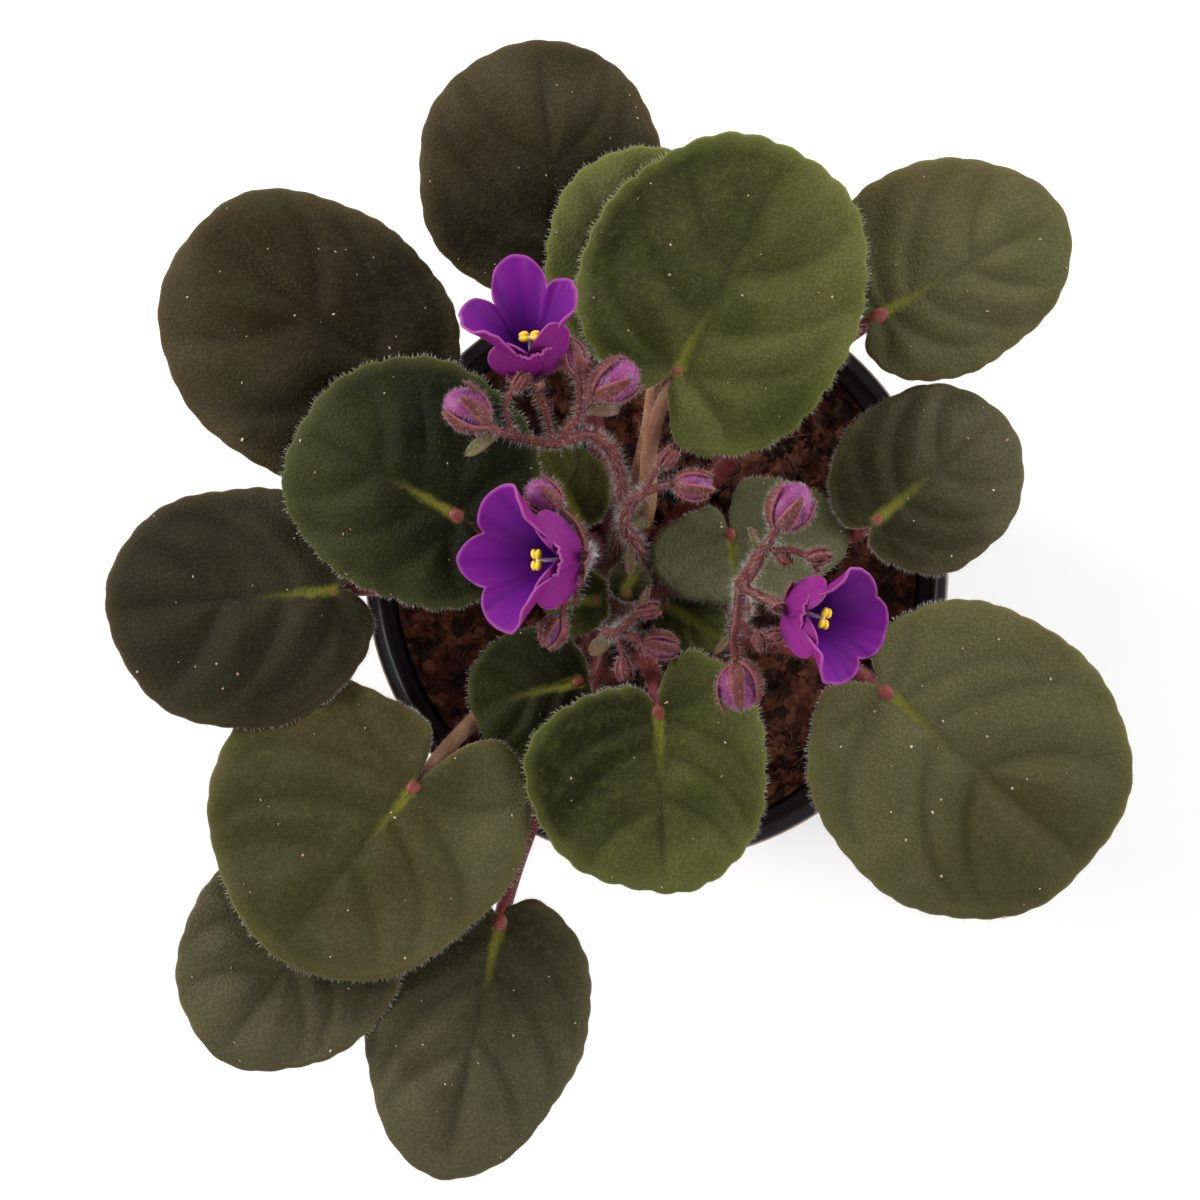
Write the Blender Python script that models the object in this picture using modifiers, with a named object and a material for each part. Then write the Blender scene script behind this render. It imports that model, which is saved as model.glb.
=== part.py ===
"""A potted African violet: nursery pot, potting soil, crown, leaves and sprays of flowers and buds.

Lengths are millimetres in this file and are turned to metres where a mesh is made. +Z is up. The origin is
the middle of the pot's base, on the surface that it stands on. Every leaf is a blade with its own petiole,
and every spray is a peduncle with its pedicels, calyxes and bracts. Flowers, anthers and buds are set on
the sprays with a small gap.
"""

import math
from dataclasses import dataclass

import bmesh
import bpy
from mathutils import Matrix, Vector, noise

MM = 0.001

# Driving dimensions, in millimetres.
POT_HEIGHT = 85.0
RIM_RADIUS = 55.0
RIM_BAND = 10.0
BASE_RADIUS = 38.0
POT_WALL = 1.2
POT_FLOOR = 1.6
DRAIN_HOLES = 6
DRAIN_CIRCLE = 27.0
DRAIN_RADIUS = 2.6
SOIL_LEVEL = 75.0
GAP = 0.3
CROWN_AT = Vector((-7.3, -2.8))
CROWN_FOOT = 66.0
CROWN_PROFILE = ((93.0, 1.2), (92.0, 3.0), (90.0, 5.0), (86.0, 6.5), (82.0, 7.0), (79.0, 7.5))
BLADE_THICKNESS = 1.0
MIDRIB_DEPTH = 0.25          # of a midrib's middle, below the blade's lower face
PETAL_THICKNESS = 0.8
SEPAL_THICKNESS = 0.7
SLIVER = 0.004               # edges this short are closed up where pieces are fused


# ---------------------------------------------------------------- the file's collections and materials

for old in list(bpy.data.objects):
    bpy.data.objects.remove(old)

plant = bpy.data.collections.new("potted_african_violet")
workshop = bpy.data.collections.new("cutters")
bpy.context.scene.collection.children.link(plant)
bpy.context.scene.collection.children.link(workshop)


def finish(name, colour, roughness):
    made = bpy.data.materials.new(name)
    made.use_nodes = True
    shader = made.node_tree.nodes["Principled BSDF"]
    shader.inputs["Base Color"].default_value = (*colour, 1.0)
    shader.inputs["Roughness"].default_value = roughness
    shader.inputs["Metallic"].default_value = 0.0
    return made


BLACK_PLASTIC = finish("black_plastic", (0.022, 0.020, 0.024), 0.45)
COIR_SOIL = finish("coir_soil", (0.070, 0.032, 0.020), 0.95)
CROWN_SKIN = finish("crown_skin", (0.110, 0.050, 0.035), 0.80)
DARK_LEAF = finish("dark_leaf", (0.045, 0.050, 0.022), 0.70)
GREEN_LEAF = finish("green_leaf", (0.070, 0.100, 0.022), 0.70)
RED_STEM = finish("red_stem", (0.200, 0.050, 0.050), 0.70)
VIOLET_PETAL = finish("violet_petal", (0.130, 0.015, 0.330), 0.55)
MAUVE_BUD = finish("mauve_bud", (0.420, 0.130, 0.400), 0.60)
YELLOW_ANTHER = finish("yellow_anther", (0.900, 0.560, 0.010), 0.50)


# ---------------------------------------------------------------- ways of making a piece

def put(name, mesh, material, collection=plant):
    mesh.name = name
    mesh.materials.clear()
    mesh.materials.append(material)
    mesh.shade_smooth()
    mesh.set_sharp_from_angle(angle=math.radians(50.0))
    piece = bpy.data.objects.new(name, mesh)
    collection.objects.link(piece)
    return piece


def evaluated_mesh(piece):
    """The piece as its modifiers leave it, as a mesh of its own; the piece itself is removed."""
    depsgraph = bpy.context.evaluated_depsgraph_get()
    mesh = bpy.data.meshes.new_from_object(piece.evaluated_get(depsgraph))
    mesh.transform(piece.matrix_world)
    bpy.data.objects.remove(piece)
    return mesh


def smooth_path(knots, per_span=2):
    """Points along a Catmull-Rom curve through the knots, which may carry a radius as a fourth number."""
    knots = [Vector(knot) for knot in knots]
    ends = [2 * knots[0] - knots[1], *knots, 2 * knots[-1] - knots[-2]]
    path = []
    for before, start, end, after in zip(ends, ends[1:], ends[2:], ends[3:]):
        for step in range(per_span):
            t = step / per_span
            path.append(0.5 * (2 * start + (end - before) * t
                               + (2 * before - 5 * start + 4 * end - after) * t ** 2
                               + (3 * start - before - 3 * end + after) * t ** 3))
    return path + [knots[-1]]


def tube(path, radii, name="tube"):
    """A round stem of six sides along the path, closed at both ends, as a mesh object in the workshop."""
    curve = bpy.data.curves.new(name, "CURVE")
    curve.dimensions = "3D"
    curve.bevel_depth = MM
    curve.bevel_resolution = 1
    curve.use_fill_caps = True
    spline = curve.splines.new("POLY")
    spline.points.add(len(path) - 1)
    for knot, place, radius in zip(spline.points, path, radii):
        knot.co = (*(MM * Vector(place[:3])), 1.0)
        knot.radius = radius
    guide = bpy.data.objects.new(name, curve)
    workshop.objects.link(guide)
    mesh = evaluated_mesh(guide)
    welded = bmesh.new()
    welded.from_mesh(mesh)
    bmesh.ops.remove_doubles(welded, verts=welded.verts, dist=0.01 * MM)
    welded.to_mesh(mesh)
    welded.free()
    return put(name, mesh, RED_STEM, workshop)


def stem(*knots, per_span=2):
    """A stem through knots of (x, y, z, radius)."""
    path = smooth_path(knots, per_span)
    return tube(path, [place[3] for place in path])


def ball(centre, axis, width, length, material, segments=8, rings=5, name="ball", collection=None):
    """An egg shape, longest along its axis."""
    made = bmesh.new()
    bmesh.ops.create_uvsphere(made, u_segments=segments, v_segments=rings, radius=0.5 * MM)
    mesh = bpy.data.meshes.new(name)
    turn = Vector(axis).normalized().to_track_quat("Z", "Y").to_matrix().to_4x4()
    place = Matrix.Translation(MM * Vector(centre))
    made.transform(place @ turn @ Matrix.Diagonal((width, width, length, 1.0)))
    made.to_mesh(mesh)
    made.free()
    return put(name, mesh, material, collection or workshop)


def spun_disc(segments, rings):
    """A flat unit disc, split into rings and sectors."""
    disc = bmesh.new()
    ray = [disc.verts.new(((ring / rings) ** 0.8, 0.0, 0.0)) for ring in range(rings + 1)]
    lines = [disc.edges.new(pair) for pair in zip(ray, ray[1:])]
    bmesh.ops.spin(disc, geom=ray + lines, cent=(0, 0, 0), axis=(0, 0, 1), angle=2 * math.pi,
                   steps=segments, use_merge=True)
    bmesh.ops.remove_doubles(disc, verts=disc.verts, dist=0.0001)
    bmesh.ops.triangulate(disc, faces=disc.faces)
    disc.normal_update()
    if sum(face.normal.z for face in disc.faces) < 0:
        bmesh.ops.reverse_faces(disc, faces=disc.faces)
    return disc


def sheet(disc, shape, thickness, material, name="sheet"):
    """Move each point of the disc by shape(reach, angle), in millimetres, and give the sheet its thickness."""
    for point in disc.verts:
        reach = point.co.length
        angle = math.atan2(point.co.y, point.co.x)
        point.co = MM * shape(reach, angle)
    mesh = bpy.data.meshes.new(name)
    disc.to_mesh(mesh)
    disc.free()
    piece = put(name, mesh, material, workshop)
    wall = piece.modifiers.new("thickness", "SOLIDIFY")
    wall.thickness = thickness * MM
    wall.offset = -1.0
    return put(name, evaluated_mesh(piece), material, workshop)


def close_slivers(mesh):
    """Close up the very short edges that a Boolean leaves, so that no face is thinner than the file keeps."""
    tidy = bmesh.new()
    tidy.from_mesh(mesh)
    bmesh.ops.remove_doubles(tidy, verts=tidy.verts, dist=SLIVER * MM)
    bmesh.ops.dissolve_degenerate(tidy, edges=tidy.edges, dist=SLIVER * MM)
    bmesh.ops.triangulate(tidy, faces=tidy.faces)
    pairs = {}
    for face in tidy.faces:
        pairs.setdefault(frozenset(face.verts), []).append(face)
    flat = [face for faces in pairs.values() if len(faces) == 2 for face in faces]
    bmesh.ops.delete(tidy, geom=flat, context="FACES")
    tidy.to_mesh(mesh)
    tidy.free()


def fuse(name, pieces, material, solver="MANIFOLD"):
    """One closed body from pieces that run into each other."""
    base, *others = pieces
    if others:
        joined = bpy.data.collections.new("joined_in_" + name)
        bpy.context.scene.collection.children.link(joined)
        for other in others:
            workshop.objects.unlink(other)
            joined.objects.link(other)
        union = base.modifiers.new("union", "BOOLEAN")
        union.operation = "UNION"
        union.operand_type = "COLLECTION"
        union.collection = joined
        union.solver = solver
    mesh = evaluated_mesh(base)
    if others:
        for other in others:
            bpy.data.objects.remove(other)
        bpy.data.collections.remove(joined)
        close_slivers(mesh)
    return put(name, mesh, material)


def turned(name, profile, steps, material, centre=(0.0, 0.0), collection=plant):
    """A body turned round the upright line through centre, from a profile of (radius, height)."""
    mesh = bpy.data.meshes.new(name)
    outline = bmesh.new()
    points = [outline.verts.new((radius * MM, 0.0, height * MM)) for radius, height in profile]
    for pair in zip(points, points[1:]):
        outline.edges.new(pair)
    outline.to_mesh(mesh)
    outline.free()
    piece = put(name, mesh, material, collection)
    screw = piece.modifiers.new("turn", "SCREW")
    screw.steps = screw.render_steps = steps
    screw.use_merge_vertices = True
    screw.merge_threshold = 0.00001
    piece.location = (centre[0] * MM, centre[1] * MM, 0.0)
    return piece


# ---------------------------------------------------------------- pot, soil and crown

def inner_wall(height):
    """Radius of the pot's inside at a height."""
    share = (height - POT_FLOOR) / (POT_HEIGHT - RIM_BAND - POT_FLOOR)
    return BASE_RADIUS - POT_WALL + share * (RIM_RADIUS - 3.2 - BASE_RADIUS)


def make_pot():
    shoulder = POT_HEIGHT - RIM_BAND
    bore = inner_wall(shoulder)
    profile = (
        (0.0, POT_FLOOR), (BASE_RADIUS - POT_WALL, POT_FLOOR), (bore, shoulder), (bore + 1.0, shoulder + 1.2),
        (bore + 1.3, POT_HEIGHT - 1.6), (bore + 2.1, POT_HEIGHT - 0.4), (RIM_RADIUS - 0.8, POT_HEIGHT),
        (RIM_RADIUS, POT_HEIGHT - 0.9), (RIM_RADIUS, shoulder + 0.4), (bore + POT_WALL, shoulder - 0.6),
        (BASE_RADIUS, 1.0), (BASE_RADIUS - 1.0, 0.0), (0.0, 0.0),
    )
    pot = turned("pot", profile, 32, BLACK_PLASTIC)
    for hole in range(DRAIN_HOLES):
        angle = 2 * math.pi * hole / DRAIN_HOLES
        bore_tool = bmesh.new()
        bmesh.ops.create_cone(bore_tool, cap_ends=True, segments=8, radius1=DRAIN_RADIUS * MM,
                              radius2=DRAIN_RADIUS * MM, depth=6.0 * MM)
        mesh = bpy.data.meshes.new("drain_cutter")
        bore_tool.to_mesh(mesh)
        bore_tool.free()
        cutter = put("drain_cutter", mesh, BLACK_PLASTIC, workshop)
        cutter.location = (DRAIN_CIRCLE * MM * math.cos(angle), DRAIN_CIRCLE * MM * math.sin(angle), 0.0)
        cutter.hide_render = True
        cutter.display_type = "WIRE"
        cut = pot.modifiers.new("drain", "BOOLEAN")
        cut.operation = "DIFFERENCE"
        cut.object = cutter


def crown_radius(height):
    """Radius of the crown's flank at a height."""
    for (upper, narrow), (lower, wide) in zip(CROWN_PROFILE, CROWN_PROFILE[1:]):
        if height >= lower:
            return wide + (narrow - wide) * (height - lower) / (upper - lower)
    return CROWN_PROFILE[-1][1]


def make_crown():
    flank = [(radius, height) for height, radius in CROWN_PROFILE]
    foot = CROWN_PROFILE[-1][1]
    profile = ((0.0, flank[0][1]), *flank, (foot, CROWN_FOOT + 1.0), (foot - 1.5, CROWN_FOOT), (0.0, CROWN_FOOT))
    turned("crown", profile, 16, CROWN_SKIN, CROWN_AT)


def make_soil():
    """A lumpy fill that keeps a gap to the pot, with a round hole for the crown."""
    shoulder = SOIL_LEVEL - 1.5
    bottom = POT_FLOOR + GAP
    profile = ((0.0, bottom), (inner_wall(bottom) - 0.5, bottom), (inner_wall(shoulder) - 0.5, shoulder),
               *((radius, SOIL_LEVEL) for radius in (46, 38, 30, 22, 14, 7, 0)))
    fill = evaluated_mesh(turned("fill", profile[::-1], 32, COIR_SOIL, collection=workshop))
    for point in fill.vertices:
        spread = math.hypot(point.co.x, point.co.y) / MM
        if point.co.z > (SOIL_LEVEL - 0.5) * MM:
            lump = noise.noise(point.co / (7.0 * MM)) + 0.6 * noise.noise(point.co / (3.0 * MM))
            point.co.z += MM * (1.3 * lump - 1.5 * (spread / 50.0) ** 2)
    soil = put("potting_soil", fill, COIR_SOIL)
    hole = evaluated_mesh(turned("hole", ((0, 100), (CROWN_PROFILE[-1][1] + GAP, 100),
                                          (CROWN_PROFILE[-1][1] + GAP, CROWN_FOOT - GAP), (0, CROWN_FOOT - GAP)),
                                 16, COIR_SOIL, CROWN_AT, workshop))
    cutter = put("crown_hole_cutter", hole, COIR_SOIL, workshop)
    cutter.hide_render = True
    cutter.display_type = "WIRE"
    cut = soil.modifiers.new("crown_hole", "BOOLEAN")
    cut.operation = "DIFFERENCE"
    cut.object = cutter


# ---------------------------------------------------------------- leaves

@dataclass
class Leaf:
    """One leaf. Angles are degrees from +X; the blade's reaches are measured from its middle."""
    name: str
    at: tuple                # where the petiole meets the blade's upper face
    heading: float           # way the midrib points
    ahead: float             # from there forward to the blade's middle
    front: float
    back: tuple              # of the left and the right basal lobe
    sides: tuple             # left and right
    leaves_crown: float      # way the petiole starts
    level: float             # height at which it starts
    petiole: float = 2.0     # radius there
    climb: float = 2.0       # rise from the petiole to the tip
    droop: float = 8.0       # fall of the tip as the blade arches
    fall: float = 4.0        # fall of the side edges
    joint: float = 0.0       # from there forward to the swelling, with the notch ending behind it
    green: bool = False
    segments: int = 24
    rings: int = 3
    rise: float = 0.35       # slope at which the petiole leaves the crown
    arrive: float = 0.25     # slope at which it meets the blade


LEAVES = (
    Leaf("leaf_01", (-43.9, 31.2, 98), 142, 22, 32, (27, 26), (29, 21.5), 140, 78, 2.2),
    Leaf("leaf_02", (-16.6, 54.0, 99), 98, 20, 25, (23, 22), (25.5, 20.5), 97, 78, 2.2),
    Leaf("leaf_03", (-1.0, 43.0, 106.6), 95, 14, 21, (20, 20), (18.5, 18.5), 80, 82, 2.0, green=True),
    Leaf("leaf_04", (1.7, 32.6, 115), 63, 20, 30, (24, 30), (25.5, 26.5), 67, 86, 1.9, joint=3.6, green=True),
    Leaf("leaf_05", (41.0, 47.0, 101), 30, 13, 27, (18, 19), (22, 18), 46, 78, 2.2),
    Leaf("leaf_06", (38.9, 7.7, 98.5), 40, 12, 21.5, (15.5, 14), (16.5, 17.5), 12, 82, 1.8, fall=2,
         joint=2.2, rise=0.1, arrive=2.6),
    Leaf("leaf_07", (42.3, -22.7, 101), -40, 19, 31.3, (28, 29), (29, 28.5), -28, 78, 2.2, rise=0.15),
    Leaf("leaf_08", (0.0, -26.4, 105), -88, 10, 23.5, (22, 15.5), (20, 24.6), -73, 82, 2.0, green=True,
         segments=26),
    Leaf("leaf_09", (-41.6, -35.9, 100), -130, 13, 33, (25.5, 18.5), (25.5, 33.5), -137, 86, 2.0, droop=6,
         joint=5.6, rise=0.1, arrive=1.6),
    Leaf("leaf_10", (-29.4, -66.0, 91.5), -103, 19, 31, (26.5, 24), (20.5, 21.5), -107, 78, 2.2, fall=5),
    Leaf("leaf_11", (-58.3, -61.7, 92), -130, 14, 24.5, (20, 20), (19, 22), -124, 81.5, 2.0, climb=0,
         droop=4, fall=2, rise=0.2, arrive=0.0),
    Leaf("leaf_12", (-59.8, -3.8, 103), -175, 16, 27, (23.5, 22), (24, 20.5), 181, 78, 2.2),
    Leaf("leaf_13", (-36.9, 9.7, 112), 150, 9, 25, (23.5, 22.5), (20, 24), 157, 82, 2.0, green=True),
    Leaf("leaf_14", (-14.2, 8.0, 99), 114, 7.3, 8.3, (8.3, 8.3), (8.5, 8.3), 118, 86, 1.2, 1, 2, 1.5,
         green=True, segments=20, rings=2),
    Leaf("leaf_15", (13.8, 4.2, 95.8), -83, 1, 9.2, (13.5, 9), (22, 15), 20, 86, 1.6, 0, 1, 0.8, joint=-2.4,
         green=True, segments=28, rings=2),
    Leaf("leaf_16", (-14.8, -20.9, 95.6), 193, 7.5, 13, (10, 10), (12.5, 12), -118, 88, 1.4, 0, 2, 1.5,
         green=True, segments=24, rings=2),
    Leaf("leaf_17", (1.5, -6.5, 88), -30, 5.5, 7.0, (6.5, 6.5), (6.5, 6.5), -40, 85, 1.1, 0, 1, 1,
         green=True, segments=18, rings=2),
    Leaf("leaf_18", (-11.4, -5.7, 95.5), 183, 4, 5.5, (6.5, 6.5), (6.2, 6.6), -145, 91.5, 0.9, 0, 1, 0.8,
         joint=0.15, green=True, segments=18, rings=2, rise=2.5, arrive=1.5),
    Leaf("leaf_19", (-6.0, -4.2, 99), 70, 2.0, 3.8, (3.6, 3.6), (3.7, 3.7), -60, 92.5, 0.8, 0, 0.5, 0.8,
         segments=14, rings=2, rise=3.0, arrive=2.0),
)


NOTCH = 1.7                  # from the swelling back to the end of the notch


def blade_reach(leaf, angle):
    """Distance of the blade's edge from its middle, seen from above, at an angle from the tip."""
    along = leaf.front if abs(angle) < math.pi / 2 else leaf.back[0 if angle > 0 else 1]
    across = leaf.sides[0 if angle > 0 else 1]
    power = 2.15
    reach = (abs(math.cos(angle) / along) ** power + abs(math.sin(angle) / across) ** power) ** (-1 / power)
    depth = max(0.04, 1 - (leaf.ahead - leaf.joint + NOTCH) / (0.5 * sum(leaf.back)))
    from_sinus = (math.pi - abs(angle)) / 0.22
    return reach * (1 - depth * math.exp(-from_sinus ** 1.6))


def blade_height(leaf, forward, aside):
    """Height of the blade's upper face, forward of the petiole's end and to the left of the midrib."""
    along = forward / (leaf.ahead + leaf.front)
    across = aside / leaf.sides[0 if aside > 0 else 1]
    return leaf.at[2] + leaf.climb * along - leaf.droop * along ** 2 - leaf.fall * across ** 2


def blade(leaf):
    heading = math.radians(leaf.heading)
    forward = Vector((math.cos(heading), math.sin(heading)))
    left = Vector((-forward.y, forward.x))
    waves = 5 + len(leaf.name) % 3

    def shape(reach, angle):
        spread = angle + 0.35 * math.sin(angle)
        tooth = math.cos(leaf.segments / 2 * angle)
        edge = blade_reach(leaf, spread) * (1 + 0.012 * tooth * reach ** 4)
        ahead = leaf.ahead + reach * edge * math.cos(spread)
        aside = reach * edge * math.sin(spread)
        plan = Vector(leaf.at[:2]) + ahead * forward + aside * left
        wave = 0.03 * edge * reach ** 3 * math.sin(waves * spread + leaf.heading)
        return Vector((*plan, blade_height(leaf, ahead, aside) + wave))

    return sheet(spun_disc(leaf.segments, leaf.rings), shape, BLADE_THICKNESS, DARK_LEAF)


def petiole(leaf):
    """The stalk from the crown's flank to the blade, and on under it as the midrib."""
    start = math.radians(leaf.leaves_crown)
    heading = math.radians(leaf.heading)
    out = Vector((math.cos(start), math.sin(start), leaf.rise))
    tilt = leaf.petiole * leaf.rise / math.hypot(1, leaf.rise)
    flank = CROWN_AT + (crown_radius(leaf.level) + GAP + tilt) * out.xy
    foot = Vector((*flank, leaf.level))
    neck = 0.65 * leaf.petiole
    end = Vector(leaf.at) - Vector((0, 0, neck - 0.6))
    arrival = Vector((math.cos(heading), math.sin(heading), leaf.arrive)).normalized()
    pull = 0.38 * (end - foot).length
    first = foot + pull * out.normalized()
    second = end - pull * arrival
    path = []
    radii = []
    for step in range(7):
        t = step / 6
        path.append((1 - t) ** 3 * foot + 3 * t * (1 - t) ** 2 * first + 3 * t * t * (1 - t) * second + t ** 3 * end)
        radii.append(leaf.petiole + (neck - leaf.petiole) * t ** 1.5)
    length = leaf.ahead + leaf.front
    for share in (0.12, 0.3, 0.5):
        run = share * length
        height = blade_height(leaf, run, 0.0) - BLADE_THICKNESS - MIDRIB_DEPTH
        path.append(Vector((end.x + run * math.cos(heading), end.y + run * math.sin(heading), height)))
        radii.append(neck * (0.85 - 0.9 * share))
    return tube(path, radii)


def make_leaves():
    for leaf in LEAVES:
        fuse(leaf.name, [blade(leaf), petiole(leaf)], GREEN_LEAF if leaf.green else DARK_LEAF)


# ---------------------------------------------------------------- sprays, flowers and buds

SEPAL_GAP = 1.3              # from a bud's skin to the sepals, before they are faceted
SEPAL_SPREAD = math.radians(115.0)
TUBE_RADIUS = 1.2            # of a flower's throat, where the petals start
FULLEST = 0.42               # share of a petal's reach at which it is widest


@dataclass
class Bud:
    """A closed flower and the pedicel that carries it, whose knots are (x, y, z, radius)."""
    name: str
    centre: tuple
    axis: tuple
    width: float
    length: float
    pedicel: tuple


@dataclass
class Petal:
    """One of the five petals of a bell. Its way is degrees round the facing, from the crest."""
    way: float
    reach: float
    half_angle: float
    leans: tuple             # its slope at the throat and at the tip, in degrees
    bluntness: float = 3.0


@dataclass
class Flower:
    """An open flower. Crest is the way of its two small petals, as seen along the facing."""
    name: str
    foot: tuple
    facing: tuple
    crest: tuple
    head: tuple              # how far the anthers are along the facing and towards the crest
    petals: tuple
    pedicel: tuple


@dataclass
class Spray:
    name: str
    stems: tuple
    buds: tuple
    flowers: tuple = ()
    bracts: tuple = ()       # (foot, tip, width)
    beads: tuple = ()        # (centre, axis, width, length) of the youngest buds


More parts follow.
